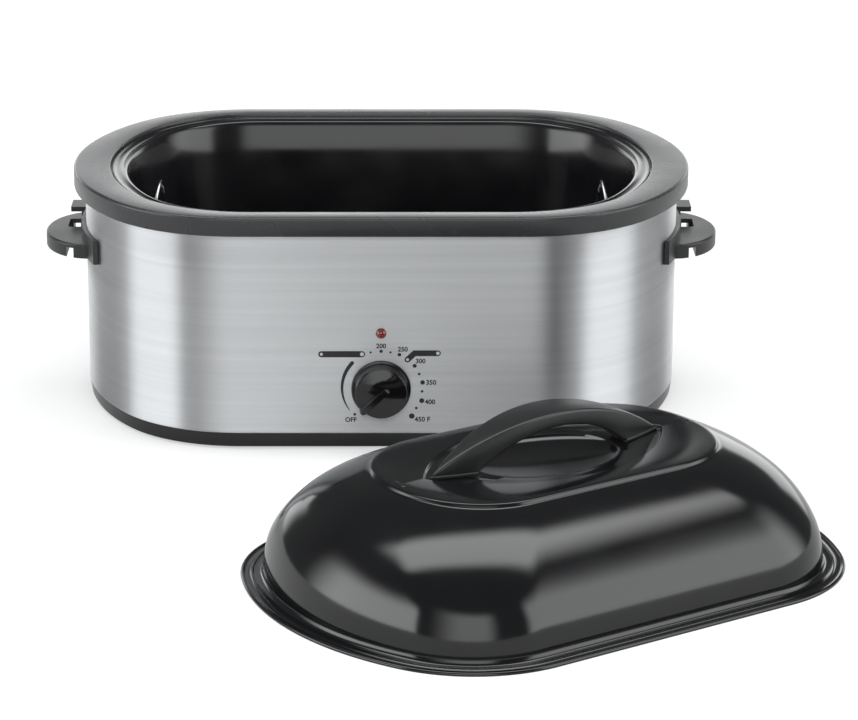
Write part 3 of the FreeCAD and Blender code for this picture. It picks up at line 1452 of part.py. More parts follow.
def make_lid():
    """Lid shell: flange with a rolled rim and a bead, dome, recess and vents."""
    wall = dim("lid_wall")
    edge = dim("lid_clearance")
    flange = oval_slab("LidFlange", "mouth", edge, 0, wall)
    roll = oval_ring("LidRoll", ("mouth", edge), ("mouth", edge + dim("lid_roll_width")), 0,
                     dim("lid_roll_height"))
    bead_inset = edge + dim("lid_bead_offset")
    bead = oval_ring("LidBead", ("mouth", bead_inset),
                     ("mouth", bead_inset + dim("lid_bead_width")), 0, dim("lid_bead_height"))
    outer = lid_solid("LidOuter", as_size(0))
    inner = lid_solid("LidInner", wall)
    below = oval_slab("LidBelow", "mouth", edge + dim("lid_flange_width") + wall, -wall,
                      wall + dim("bore_fit"))
    tools = [inner, below]
    for number, side in enumerate((-1, 1)):
        x = (CROWN_WIDTH - dim("vent_inset")) * side - dim("vent_length") / 2
        tools.append(box("Vent%d" % number, dim("vent_length"), dim("vent_width"),
                         PANEL_TOP - dim("shoulder_height") + wall, x,
                         dim("vent_width") / -2, dim("shoulder_height")))
        tools.append(cylinder("LidScrewHole%d" % number,
                              dim("grip_screw_radius") + dim("bore_fit"), wall * 4,
                              GRIP_SCREW_X * side, 0, RECESS_FLOOR - wall * 2))
    whole = fuse("LidSolid", [flange, roll, bead, outer])
    node(lid_place(cut_all("LidShell", whole, tools)), "lid_shell")


def make_grip():
    """Arched lid handle with pointed ends and stepped feet, and its screws."""
    floor = RECESS_FLOOR
    body = new_body("GripArch")
    sketch = new_sketch(body, "GripProfile", "XZ_Plane", 0)
    add_arch(sketch, floor)
    arch = body.newObject("PartDesign::Pad", "GripPad")
    arch.Profile = sketch
    arch.Midplane = True
    bind(arch, {"Length": dim("grip_half_width") * 4})
    lens = lens_prism("GripLens", GRIP_LENGTH, dim("grip_half_width"), floor,
                      dim("grip_rise") + 2)
    bow = common("GripBow", body, lens)
    reach = dim("grip_step_reach")
    step = lens_prism("GripStep", GRIP_LENGTH + reach,
                      dim("grip_half_width") + reach, floor, dim("grip_step_height"))
    width = dim("grip_half_width") + reach
    gap = box("GripGap", GRIP_INNER * 2, width * 2, dim("grip_step_height") + 2,
              -GRIP_INNER, -width, floor - 1)
    feet = cut("GripFeet", step, gap)
    holes = []
    screws = []
    washers = []
    under = floor - dim("lid_wall")
    for number, side in enumerate((-1, 1)):
        x = GRIP_SCREW_X * side
        holes.append(cylinder("GripHole%d" % number, dim("grip_screw_radius") + dim("snug_fit"),
                              dim("grip_screw_depth") + 1 + dim("slip_fit"), x, 0, floor - 1))
        ring = cylinder("WasherDisc%d" % number, dim("washer_radius"), dim("washer_wall"), x, 0,
                        under - dim("washer_wall"))
        hole = cylinder("WasherHole%d" % number, dim("grip_screw_radius") + dim("bore_fit"),
                        dim("washer_wall") + 2, x, 0, under - dim("washer_wall") - 1)
        washers.append(cut("Washer%d" % number, ring, hole))
        head_top = under - dim("washer_wall")
        head = cylinder("LidHead%d" % number, dim("grip_screw_head_radius"),
                        dim("grip_screw_head"), x, 0, head_top - dim("grip_screw_head"))
        shank = cylinder("LidShank%d" % number, dim("grip_screw_radius"),
                         floor - head_top + dim("grip_screw_head") + dim("grip_screw_depth"),
                         x, 0, head_top - dim("grip_screw_head"))
        screws.append(fuse("LidScrew%d" % number, [head, shank]))
    solid = fuse("GripSolid", [bow, feet])
    node(lid_place(cut_all("Grip", solid, holes)), "lid_handle")
    node(lid_place(group("LidScrews", screws)), "lid_handle_screws")
    node(lid_place(group("LidWashers", washers)), "lid_handle_washers")


def add_arch(sketch, floor):
    """Side view of the lid handle: an outer arc, an inner arc and flat feet."""
    outer_half = GRIP_LENGTH
    inner_half = GRIP_INNER
    tip = floor + dim("grip_tip")
    outer_rise = dim("grip_rise") - dim("grip_tip")
    inner_rise = dim("grip_rise") - dim("grip_thickness")
    outer_radius = (outer_half * outer_half + outer_rise * outer_rise) / (outer_rise * 2)
    inner_radius = (inner_half * inner_half + inner_rise * inner_rise) / (inner_rise * 2)
    low = float(floor)
    high = float(tip)
    wide = float(outer_half)
    near = float(inner_half)
    top = float(floor + dim("grip_rise"))
    under = float(floor + inner_rise)

    def at(x, y):
        return FreeCAD.Vector(x, y, 0)

    sketch.addGeometry([
        Part.Arc(at(wide, high), at(0, top), at(-wide, high)),
        Part.LineSegment(at(-wide, high), at(-wide, low)),
        Part.LineSegment(at(-wide, low), at(-near, low)),
        Part.Arc(at(near, low), at(0, under), at(-near, low)),
        Part.LineSegment(at(near, low), at(wide, low)),
        Part.LineSegment(at(wide, low), at(wide, high)),
    ], False)
    for joint in ((0, 2, 1, 1), (1, 2, 2, 1), (2, 2, 3, 2), (3, 1, 4, 1), (4, 2, 5, 1),
                  (5, 2, 0, 1)):
        sketch.addConstraint(Sketcher.Constraint("Coincident", *joint))
    hold_point(sketch, 1, 1, -outer_half, tip, "LeftTip")
    hold_point(sketch, 2, 1, -outer_half, floor, "LeftFoot")
    hold_point(sketch, 3, 2, -inner_half, floor, "LeftInner")
    hold_point(sketch, 3, 1, inner_half, floor, "RightInner")
    hold_point(sketch, 5, 1, outer_half, floor, "RightFoot")
    hold_point(sketch, 0, 1, outer_half, tip, "RightTip")
    hold(sketch, Sketcher.Constraint("Radius", 0, float(outer_radius)), outer_radius, "OuterBow")
    hold(sketch, Sketcher.Constraint("Radius", 3, float(inner_radius)), inner_radius, "InnerBow")


def check_model():
    """Stop if any object failed, or if a sub-part has no sound solid."""
    DOCUMENT.recompute()
    for item in DOCUMENT.Objects:
        if "Invalid" in item.State or "Error" in item.State:
            raise RuntimeError("%s failed: %s" % (item.Name, item.State))
        shape = getattr(item, "Shape", None)
        if shape is not None and shape.Solids and not shape.isValid():
            raise RuntimeError("%s is not a sound solid" % item.Name)
    for name, item in NODES.items():
        shape = item.Shape
        if shape.isNull() or not shape.isValid() or not shape.Solids:
            raise RuntimeError("%s has no sound solid" % name)


def export_parts():
    """Write each sub-part to its own file."""
    os.makedirs("parts", exist_ok=True)
    for name, item in NODES.items():
        shape = item.Shape
        shape.exportStep(os.path.join("parts", name + ".step"))
        print("%-22s solids %2d volume %12.1f" % (name, len(shape.Solids), shape.Volume))


make_collar()
make_wrap()
make_seam()
make_base()
make_feet()
make_shield()
make_well()
make_heater()
make_thermostat()
make_shaft_and_knob()
make_indicator()
make_supply()
make_handles()
make_pan()
make_rack()
make_lid()
make_grip()
check_model()
export_parts()
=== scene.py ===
import json
import math

import bpy
import numpy as np
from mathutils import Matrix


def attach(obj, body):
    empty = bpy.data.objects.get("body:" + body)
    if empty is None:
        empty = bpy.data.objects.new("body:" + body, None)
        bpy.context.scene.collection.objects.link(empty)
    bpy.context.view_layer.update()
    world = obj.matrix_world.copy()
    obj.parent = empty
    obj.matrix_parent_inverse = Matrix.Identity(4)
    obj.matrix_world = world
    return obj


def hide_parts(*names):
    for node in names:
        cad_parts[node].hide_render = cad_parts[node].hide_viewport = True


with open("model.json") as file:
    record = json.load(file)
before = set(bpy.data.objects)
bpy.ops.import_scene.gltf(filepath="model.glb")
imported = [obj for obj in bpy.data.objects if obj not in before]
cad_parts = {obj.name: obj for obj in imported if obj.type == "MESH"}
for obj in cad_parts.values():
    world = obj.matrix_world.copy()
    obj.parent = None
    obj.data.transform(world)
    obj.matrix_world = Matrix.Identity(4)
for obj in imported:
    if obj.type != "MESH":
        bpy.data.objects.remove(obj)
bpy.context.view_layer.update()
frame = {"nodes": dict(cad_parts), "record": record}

# Electric roaster oven with its lid laid on the counter in front of it.
# Sizes are in millimetres here and become metres in the meshes.
MM = 0.001

# Oval outlines: half width, half depth, corner radius, end radius.
COLLAR = (278.0, 198.0, 134.0, 244.0)
MOUTH = (245.0, 178.0, 118.0, 250.0)
SHOULDER = (200.0, 132.0, 92.0, 212.0)
CROWN = (150.0, 88.0, 76.0, 104.0)

# Heights above the counter. The wrap's two insets are counted from the collar's oval.
COUNTER = 0.0
COLLAR_LOW = 195.0
COLLAR_TOP = 212.0
LEDGE_TOP = 207.0
LEDGE_LOW = 204.0
WRAP_LOW = 14.5
WRAP_TOP = 208.0
WRAP_OUTER = 10.0
WRAP_INNER = 11.0

STEEL_FRONT = -188.0
KNOB_HEIGHT = 56.0
JEWEL_HEIGHT = 106.0
LID_PLACE = (129.5, -472.5, 33.5)
RECESS_FLOOR = 94.0


# Camera

# Lengths in the picture are in pixels, and the place is in metres.
PHOTO_WIDTH = 858.0
FOCAL_PIXELS = 3500.0
SIGHT_COLUMN = 381.12
SENSOR_WIDTH = 36.0
CAMERA_PLACE = (0.0, -3.07919, 1.00545)
CAMERA_TILT = 17.72


def add_camera():
    """Camera at the photograph's viewing angle, with a long lens and a side shift."""
    data = bpy.data.cameras.new("photo_camera")
    data.sensor_width = SENSOR_WIDTH
    data.lens = FOCAL_PIXELS / PHOTO_WIDTH * SENSOR_WIDTH
    data.shift_x = (PHOTO_WIDTH / 2.0 - SIGHT_COLUMN) / PHOTO_WIDTH
    data.clip_end = 60.0
    camera = bpy.data.objects.new("photo_camera", data)
    camera.location = CAMERA_PLACE
    camera.rotation_euler = (math.radians(90.0 - CAMERA_TILT), 0.0, 0.0)
    bpy.context.scene.collection.objects.link(camera)
    bpy.context.scene.camera = camera
    bpy.context.scene.view_settings.view_transform = "Standard"


# Surfaces

def build_mesh(name, points, faces, finish, body, smooth_angle=35.0):
    """Put points in millimetres and faces into a new piece that rides on a body."""
    mesh = bpy.data.meshes.new(name)
    mesh.from_pydata((np.asarray(points, float) * MM).tolist(), [], faces)
    mesh.validate()
    piece = bpy.data.objects.new(name, mesh)
    bpy.context.scene.collection.objects.link(piece)
    mesh.materials.append(finish)
    mesh.shade_smooth()
    mesh.set_sharp_from_angle(angle=math.radians(smooth_angle))
    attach(piece, body)
    return piece


def ring_faces(rows, columns, close_rows):
    """Quads between neighbouring rings of a grid whose rings are closed."""
    row = np.arange(rows if close_rows else rows - 1)[:, None]
    column = np.arange(columns)[None, :]
    above = (row + 1) % rows
    after = (column + 1) % columns
    quads = np.stack([row * columns + column, row * columns + after,
                      above * columns + after, above * columns + column], axis=-1)
    return quads.reshape(-1, 4).tolist()


def ring_surface(name, rings, finish, body, close_rows=False, smooth_angle=35.0):
    """Closed surface through rings. Open rows end in a pole at each ring's mean point."""
    rings = np.asarray(rings, float)
    rows, columns, _ = rings.shape
    points = rings.reshape(-1, 3)
    faces = ring_faces(rows, columns, close_rows)
    if not close_rows:
        poles = np.stack([rings[0].mean(axis=0), rings[-1].mean(axis=0)])
        points = np.concatenate([points, poles])
        start, end = rows * columns, rows * columns + 1
        last = (rows - 1) * columns
        column = np.arange(columns)
        after = (column + 1) % columns
        first_fan = np.stack([np.full(columns, start), after, column], axis=-1)
        last_fan = np.stack([np.full(columns, end), last + column, last + after], axis=-1)
        faces += first_fan.tolist() + last_fan.tolist()
    return build_mesh(name, points, faces, finish, body, smooth_angle)


def oval(sizes, inset=0.0, ends=12, corners=16, sides=20):
    """Oval outline moved inwards by an inset, anticlockwise from the +X end.

    A point on an arc is the arc's centre plus its radius along an even fan of
    angles, and a point on a straight side is an even share of the side.
    """
    half_width, half_depth, corner, end = sizes
    end_x = half_width - end
    corner_y = half_depth - corner
    corner_x = end_x + math.sqrt((end - corner) ** 2 - corner_y ** 2)
    turn = math.atan2(corner_y, corner_x - end_x)
    corner -= inset
    end -= inset
    quarter = math.pi / 2

    def arc(x, y, radius, start, stop, count):
        angle = np.linspace(start, stop, count, endpoint=False)
        return np.stack([x + radius * np.cos(angle), y + radius * np.sin(angle)], axis=-1)

    def side(start, stop, y):
        x = np.linspace(start, stop, sides, endpoint=False)
        return np.stack([x, np.full(sides, y)], axis=-1)

    high = corner_y + corner
    return np.concatenate([
        arc(end_x, 0.0, end, 0.0, turn, ends),
        arc(corner_x, corner_y, corner, turn, quarter, corners),
        side(corner_x, -corner_x, high),
        arc(-corner_x, corner_y, corner, quarter, math.pi - turn, corners),
        arc(-end_x, 0.0, end, math.pi - turn, math.pi + turn, ends * 2),
        arc(-corner_x, -corner_y, corner, math.pi + turn, math.pi + quarter, corners),
        side(-corner_x, corner_x, -high),
        arc(corner_x, -corner_y, corner, -quarter, -turn, corners),
        arc(end_x, 0.0, end, -turn, 0.0, ends),
    ])


def at_height(outline, height):
    """A flat outline as a ring at one height."""
    return np.concatenate([outline, np.full((len(outline), 1), height)], axis=1)


def oval_ring(sizes, inset, height):
    """One ring of an oval wall."""
    return at_height(oval(sizes, inset), height)


def quarter_turn(centre, radius, start, stop, count=6):
    """Profile points on an arc: pairs of inset and height from start to stop degrees."""
    angle = np.radians(np.linspace(start, stop, count))
    return np.stack([centre[0] + radius * np.cos(angle),
                     centre[1] + radius * np.sin(angle)], axis=-1)


def turned(profile, steps=128):
    """Rings of a turned shape about the knob's axis, from pairs of radius and depth.

    Each pair gives a circle of that radius in the plane y = depth.
    """
    angle = np.linspace(0.0, 2.0 * math.pi, steps, endpoint=False)
    radius = np.asarray(profile, float)[:, 0][:, None]
    depth = np.asarray(profile, float)[:, 1][:, None]
    x = radius * np.cos(angle)[None, :]
    z = radius * np.sin(angle)[None, :]
    y = np.broadcast_to(depth, x.shape)
    return np.stack([x, y, z], axis=-1)


def place_lid(points):
    """Turn and move points from the lid's own frame to its place on the counter."""
    x, y, turn = LID_PLACE
    points = np.array(points, float)
    c, s = math.cos(math.radians(turn)), math.sin(math.radians(turn))
    across, along = points[..., 0].copy(), points[..., 1].copy()
    points[..., 0] = x + across * c - along * s
    points[..., 1] = y + across * s + along * c
    return points


# Shared effects for the materials

def new_group(name, inputs, outputs):
    """A shader node group with named number, colour and vector sockets."""
    group = bpy.data.node_groups.new(name, "ShaderNodeTree")
    for label, kind, value in inputs:
        socket = group.interface.new_socket(label, in_out="INPUT", socket_type=kind)
        if value is not None:
            socket.default_value = value
    for label, kind in outputs:
        group.interface.new_socket(label, in_out="OUTPUT", socket_type=kind)
    start = group.nodes.new("NodeGroupInput")
    end = group.nodes.new("NodeGroupOutput")
    return group, start, end


def add(tree, kind, **settings):
    """A node with its own settings."""
    item = tree.nodes.new(kind)
    for name, value in settings.items():
        setattr(item, name, value)
    return item


def maths(tree, operation, *sources):
    """A calculation with numbers or sockets."""
    item = add(tree, "ShaderNodeMath", operation=operation)
    for place, source in enumerate(sources):
        if isinstance(source, (int, float)):
            item.inputs[place].default_value = source
        else:
            tree.links.new(source, item.inputs[place])
    return item.outputs["Value"]


def noise(tree, vector, scale, detail=3.0, roughness=0.5):
    """Noise along a vector, with a scale that is a number or a socket."""
    item = add(tree, "ShaderNodeTexNoise")
    tree.links.new(vector, item.inputs["Vector"])
    if isinstance(scale, float):
        item.inputs["Scale"].default_value = scale
    else:
        tree.links.new(scale, item.inputs["Scale"])
    item.inputs["Detail"].default_value = detail
    item.inputs["Roughness"].default_value = roughness
    return item.outputs["Fac"]


def spread(tree, value, low, high, start=0.3, stop=0.7):
    """A value from start to stop, spread between two sockets or numbers."""
    item = add(tree, "ShaderNodeMapRange")
    tree.links.new(value, item.inputs["Value"])
    item.inputs["From Min"].default_value = start
    item.inputs["From Max"].default_value = stop
    for label, source in (("To Min", low), ("To Max", high)):
        if isinstance(source, float):
            item.inputs[label].default_value = source
        else:
            tree.links.new(source, item.inputs[label])
    return item.outputs["Result"]


def blend_colours(tree, share, first, second):
    """A mix of two colour sockets by a share."""
    item = add(tree, "ShaderNodeMix", data_type="RGBA")
    tree.links.new(share, item.inputs[0])
    tree.links.new(first, item.inputs[6])
    tree.links.new(second, item.inputs[7])
    return item.outputs[2]


COLOUR = "NodeSocketColor"
NUMBER = "NodeSocketFloat"
VECTOR = "NodeSocketVector"
SURFACE_INPUTS = [
    ("Vector", VECTOR, None),
    ("Colour", COLOUR, (0.5, 0.5, 0.5, 1.0)),
    ("Second Colour", COLOUR, (0.5, 0.5, 0.5, 1.0)),
    ("Low Roughness", NUMBER, 0.3),
    ("High Roughness", NUMBER, 0.4),
]
SURFACE_OUTPUTS = [("Colour", COLOUR), ("Roughness", NUMBER), ("Height", NUMBER)]


def close_group(group, start, end, tone, wear, height, wear_limits=(0.3, 0.7)):
    """Link a group's outputs: colours blended by tone, roughness spread by wear."""
    colour = blend_colours(group, tone, start.outputs["Colour"],
                           start.outputs["Second Colour"])
    rough = spread(group, wear, start.outputs["Low Roughness"],
                   start.outputs["High Roughness"], *wear_limits)
    for label, source in (("Colour", colour), ("Roughness", rough), ("Height", height)):
        group.links.new(source, end.inputs[label])
    return group


def moulded_group():
    """Moulded plastic: fine pimples, slow cloudy tone and rubbed patches."""
    group, start, end = new_group("moulded_grain", SURFACE_INPUTS + [
        ("Pimples", NUMBER, 1500.0), ("Clouds", NUMBER, 14.0)], SURFACE_OUTPUTS)
    vector = start.outputs["Vector"]
    fine = noise(group, vector, start.outputs["Pimples"], 2.0)
    slow = noise(group, vector, start.outputs["Clouds"], 4.0, 0.6)
    tone = spread(group, slow, 0.0, 1.0)
    return close_group(group, start, end, tone, slow, fine)


def brushed_group():
    """Brushed sheet: lines far longer than they are wide, in two sizes."""
    group, start, end = new_group("brushed_lines", SURFACE_INPUTS + [
        ("Direction", VECTOR, (6.0, 6.0, 1400.0)), ("Streaks", VECTOR, (2.0, 2.0, 190.0))],
        SURFACE_OUTPUTS)
    lines = []
    for label, detail in (("Direction", 2.0), ("Streaks", 5.0)):
        stretch = add(group, "ShaderNodeVectorMath", operation="MULTIPLY")
        group.links.new(start.outputs["Vector"], stretch.inputs[0])
        group.links.new(start.outputs[label], stretch.inputs[1])
        lines.append(noise(group, stretch.outputs["Vector"], 1.0, detail, 0.6))
    fine, broad = lines
    tone = spread(group, broad, 0.0, 1.0, 0.32, 0.68)
    height = maths(group, "MULTIPLY_ADD", broad, 0.5, fine)
    return close_group(group, start, end, tone, fine, height)


def enamel_group():
    """Fired enamel: a faint slow ripple, tiny pits and a haze in patches."""
    group, start, end = new_group("enamel_flow", SURFACE_INPUTS + [
        ("Ripple", NUMBER, 22.0), ("Pits", NUMBER, 900.0)], SURFACE_OUTPUTS)
    vector = start.outputs["Vector"]
    ripple = noise(group, vector, start.outputs["Ripple"], 2.0, 0.4)
    pits = noise(group, vector, start.outputs["Pits"], 1.0, 0.4)
    tone = spread(group, ripple, 0.0, 1.0)
    height = maths(group, "MULTIPLY_ADD", pits, 0.04, ripple)
    return close_group(group, start, end, tone, ripple, height)


def woven_group():
    """Matted threads that cross: two sets of waves, bent by noise."""
    group, start, end = new_group("woven_mat", SURFACE_INPUTS + [
        ("Threads", NUMBER, 300.0)], SURFACE_OUTPUTS)
    waves = []
    for direction in ("X", "Z"):
        wave = add(group, "ShaderNodeTexWave", bands_direction=direction)
        group.links.new(start.outputs["Vector"], wave.inputs["Vector"])
        group.links.new(start.outputs["Threads"], wave.inputs["Scale"])
        wave.inputs["Distortion"].default_value = 4.0
        wave.inputs["Detail"].default_value = 3.0
        waves.append(wave.outputs["Fac"])
    value = maths(group, "MULTIPLY", *waves)
    return close_group(group, start, end, value, value, value, (0.0, 1.0))


GROUPS = {
    "moulded": moulded_group(),
    "brushed": brushed_group(),
    "enamel": enamel_group(),
    "woven": woven_group(),
}


def finish_of(name, effect, colour, second, rough, bump=(0.2, 0.0004), metallic=0.0,
              sockets=None, group_values=None, tangent=False):
    """A material: one shared effect feeds colour, roughness and bump of a shader."""
    material = bpy.data.materials.new(name)
    material.use_nodes = True
    tree = material.node_tree
    shader = tree.nodes["Principled BSDF"]
    place = add(tree, "ShaderNodeTexCoord")
    surface = add(tree, "ShaderNodeGroup", node_tree=GROUPS[effect])
    tree.links.new(place.outputs["Object"], surface.inputs["Vector"])
    surface.inputs["Colour"].default_value = (*colour, 1.0)
    surface.inputs["Second Colour"].default_value = (*second, 1.0)
    surface.inputs["Low Roughness"].default_value = rough[0]
    surface.inputs["High Roughness"].default_value = rough[1]
    for label, value in (group_values or {}).items():
        surface.inputs[label].default_value = value
    tree.links.new(surface.outputs["Colour"], shader.inputs["Base Color"])
    tree.links.new(surface.outputs["Roughness"], shader.inputs["Roughness"])
    relief = add(tree, "ShaderNodeBump")
    relief.inputs["Strength"].default_value = bump[0]
    relief.inputs["Distance"].default_value = bump[1]
    tree.links.new(surface.outputs["Height"], relief.inputs["Height"])
    tree.links.new(relief.outputs["Normal"], shader.inputs["Normal"])
    shader.inputs["Metallic"].default_value = metallic
    for label, value in (sockets or {}).items():
        shader.inputs[label].default_value = value
    if tangent:
        along = add(tree, "ShaderNodeTangent", direction_type="RADIAL", axis="Z")
        tree.links.new(along.outputs["Tangent"], shader.inputs["Tangent"])
    return material


FINISHES = {
    "black_collar": finish_of("collar_moulding", "moulded", (0.028, 0.0285, 0.030),
                              (0.034, 0.0345, 0.036), (0.24, 0.30), (0.05, 0.0002)),
    "brushed_wrap": finish_of("brushed_steel", "brushed", (0.59, 0.602, 0.615),
                              (0.65, 0.661, 0.672), (0.41, 0.47), (0.03, 0.0002), 1.0,
                              {"Anisotropic": 1.0, "Anisotropic Rotation": 0.25},
                              tangent=True),
    "black_base": finish_of("base_moulding", "moulded", (0.008, 0.008, 0.009),
                            (0.012, 0.012, 0.013), (0.10, 0.16), (0.03, 0.0002)),
    "foot_rubber": finish_of("foot_rubber", "moulded", (0.012, 0.012, 0.012),
                             (0.022, 0.022, 0.022), (0.75, 0.9), (0.4, 0.0004)),
    "bright_fastener": finish_of("zinc_screw", "brushed", (0.62, 0.62, 0.60),
                                 (0.70, 0.69, 0.66), (0.22, 0.34), (0.1, 0.0002), 1.0),
    "shield_sheet": finish_of("bright_sheet", "brushed", (0.66, 0.66, 0.67),
                              (0.74, 0.74, 0.75), (0.2, 0.32), (0.08, 0.0002), 1.0,
                              group_values={"Direction": (8.0, 500.0, 8.0),
                                            "Streaks": (3.0, 90.0, 3.0)}),
    "enamel": finish_of("well_enamel", "enamel", (0.012, 0.013, 0.016),
                        (0.020, 0.021, 0.026), (0.16, 0.26), (0.06, 0.0006)),
    "heater_mica": finish_of("mica_tape", "woven", (0.42, 0.36, 0.27), (0.60, 0.54, 0.43),
                             (0.5, 0.7), (0.3, 0.0004), group_values={"Threads": 160.0}),
    "terminal_ceramic": finish_of("white_ceramic", "enamel", (0.78, 0.76, 0.70),
                                  (0.84, 0.82, 0.77), (0.3, 0.45), (0.05, 0.0003)),
    "blanket_wool": finish_of("glass_wool", "woven", (0.66, 0.63, 0.52), (0.84, 0.81, 0.72),
                              (0.85, 0.98), (0.7, 0.0010), group_values={"Threads": 120.0}),
    "inner_plastic": finish_of("phenolic", "moulded", (0.020, 0.018, 0.016),
                               (0.034, 0.030, 0.026), (0.4, 0.55), (0.2, 0.0003)),
    "copper_tube": finish_of("copper", "brushed", (0.66, 0.34, 0.20), (0.76, 0.42, 0.27),
                             (0.25, 0.4), (0.05, 0.0002), 1.0),
    "red_lens": finish_of("red_jewel", "enamel", (0.24, 0.003, 0.003), (0.12, 0.002, 0.002),
                          (0.06, 0.1), (0.03, 0.0002), 0.0,
                          {"Coat Weight": 1.0, "Coat Roughness": 0.03}),
    "lamp_glass": finish_of("lamp_glass", "enamel", (0.80, 0.42, 0.28), (0.88, 0.52, 0.36),
                            (0.05, 0.12), (0.03, 0.0002)),
    "lead_insulation": finish_of("lead_sleeve", "woven", (0.62, 0.58, 0.48),
                                 (0.78, 0.75, 0.66), (0.6, 0.8), (0.3, 0.0003),
                                 group_values={"Threads": 700.0}),
    "handle_black": finish_of("handle_phenolic", "moulded", (0.014, 0.0145, 0.015),
                              (0.019, 0.0195, 0.020), (0.28, 0.38), (0.1, 0.0002)),
    "knob_black": finish_of("knob_gloss", "enamel", (0.0045, 0.0045, 0.005),
                            (0.006, 0.006, 0.0065), (0.07, 0.11), (0.03, 0.0002)),
    "pan_enamel": finish_of("pan_enamel", "enamel", (0.005, 0.005, 0.006),
                            (0.009, 0.009, 0.010), (0.12, 0.2), (0.06, 0.0006)),
    "chrome_wire": finish_of("chrome_wire", "brushed", (0.66, 0.67, 0.69),
                             (0.74, 0.75, 0.77), (0.08, 0.16), (0.02, 0.0002), 1.0),
    "lid_gloss": finish_of("lid_enamel", "enamel", (0.0050, 0.0052, 0.0058),
                           (0.0065, 0.0068, 0.0074), (0.10, 0.13), (0.02, 0.0004), 0.0,
                           {"Specular IOR Level": 0.55}),
}
DIAL_INK = finish_of("dial_ink", "moulded", (0.010, 0.010, 0.012), (0.016, 0.016, 0.018),
                     (0.45, 0.55), (0.05, 0.0001))
BADGE_PAPER = finish_of("badge_dot", "moulded", (0.60, 0.61, 0.62), (0.66, 0.67, 0.68),
                        (0.4, 0.5), (0.05, 0.0001))
# Near-black rough finish: painted shade that stands for the inside of the lid's open vent
# slots.
SLOT_PAINTED_SHADE = finish_of("slot_painted_shadow", "moulded", (0.002, 0.002, 0.002),
                      (0.003, 0.003, 0.003), (0.8, 0.9), (0.1, 0.0002))


# Finishes of the construction model's own nodes

def dress_nodes():
    """Give each node the finish of its material slot, and even out its shading."""
    slots = {entry["node"]: entry["material_slot"] for entry in node_entries(frame["record"])}
    for name, item in frame["nodes"].items():
        finish = FINISHES[slots[name]]
        item.data.materials.clear()
        item.data.materials.append(finish)
        weld = item.modifiers.new("weld", "WELD")
        weld.merge_threshold = 0.00001
        split = item.modifiers.new("split", "EDGE_SPLIT")
        split.split_angle = math.radians(30.0)


def node_entries(part):
    """Every entry of the record that gives a node its material slot."""
    found = []
    if isinstance(part, dict):
        if "node" in part and "material_slot" in part:
            found.append(part)
        for value in part.values():
            found += node_entries(value)
    elif isinstance(part, list):
        for value in part:
            found += node_entries(value)
    return found


# Steel band, collar and pan

def make_steel_band():
    """Brushed wall of the body: an oval band with a hemmed lower edge."""
    hem = quarter_turn((10.7, 15.4), 0.9, -90.0, -180.0, 5)
    profile = np.concatenate([
        [(WRAP_OUTER, WRAP_TOP), (WRAP_OUTER, 100.0), (WRAP_OUTER, 18.6), (9.85, 17.6)],
        hem[::-1],
        [(WRAP_INNER, WRAP_LOW), (WRAP_INNER, WRAP_TOP)],
    ])
    rings = [oval_ring(COLLAR, inset, height) for inset, height in profile]
    piece = ring_surface("steel_band", rings[::-1], FINISHES["brushed_wrap"], "roaster",
                         close_rows=True)
    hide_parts("outer_wrap")


def make_collar():
    """Collar: its section goes once round, rounded where hands and light meet it."""
    outer = quarter_turn((2.4, 209.6), 2.4, 180.0, 90.0, 8)
    lower = [(0.9, COLLAR_LOW), (0.2, 195.3), (0.0, 196.0)]
    lip = [(-1.2, COLLAR_TOP), (-0.7, 211.9), (-0.2, 211.5), (0.0, 211.0)]
    ledge = [(0.0, LEDGE_TOP), (8.0, LEDGE_TOP), (8.0, LEDGE_LOW), (-3.0, LEDGE_LOW),
             (-3.0, WRAP_TOP)]
    back = [(9.7, WRAP_TOP), (9.7, COLLAR_LOW)]
    rings = [oval_ring(COLLAR, inset, height) for inset, height in [*lower, *outer]]
    rings += [oval_ring(MOUTH, inset, height) for inset, height in lip + ledge]
    rings += [oval_ring(COLLAR, inset, height) for inset, height in back]
    piece = ring_surface("collar_moulding", rings, FINISHES["black_collar"], "roaster",
                         close_rows=True)
    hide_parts("top_collar")


def make_pan():
    """Roasting pan: its section runs from the floor up over the rolled rim and back."""
    rim, slope = 208.2, 0.142
    bend_in, bend_out = 20.8, 22.0
    roll = quarter_turn((3.0, rim), 1.2, 180.0, 0.0, 9)
    lip = [(5.2, 207.6), (6.2, 207.25), (11.0, 207.25)]
    bend = quarter_turn((12.4, 204.6), 3.6, 90.0, 30.0, 5)
    inner = [(16.7 + slope * drop, rim - drop) for drop in (6.0, 30.0, 70.0, 110.0, 127.0)]
    floor_in = quarter_turn((35.2 + bend_in, 57.2 + bend_in), bend_in, 180.0, 270.0, 8)
    floor_out = quarter_turn((34.0 + bend_out, 56.0 + bend_out), bend_out, 270.0, 180.0, 8)
    outer = [(15.5 + slope * drop, rim - drop) for drop in (125.0, 110.0, 70.0, 30.0, 5.0)]
    under = [(14.6, 207.0), (2.6, 207.0), (1.9, 207.3)]
    profile = np.concatenate([part[::-1] for part in (
        floor_in, inner, bend, lip, roll, under, outer, floor_out)])
    rings = [oval_ring(MOUTH, inset, height) for inset, height in profile]
    low_in, low_out = rings[0], rings[-1]
    middle_in = [low_in * np.array([share, share, 1.0]) for share in (0.3, 0.6, 0.85)]
    middle_out = [low_out * np.array([share, share, 1.0]) for share in (0.85, 0.6, 0.3)]
    rings = middle_in + rings + middle_out
    piece = ring_surface("pan_shell", np.array(rings), FINISHES["pan_enamel"], "pan")
    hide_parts("roasting_pan")


# Knob, jewel and dial print

KNOB_GAP = 1.6
KNOB_SKIRT = 4.0
KNOB_BODY = 10.5
DOME_RADIUS = 21.9
DOME_DEPTH = 4.5
POINTER_ANGLE = -133.5


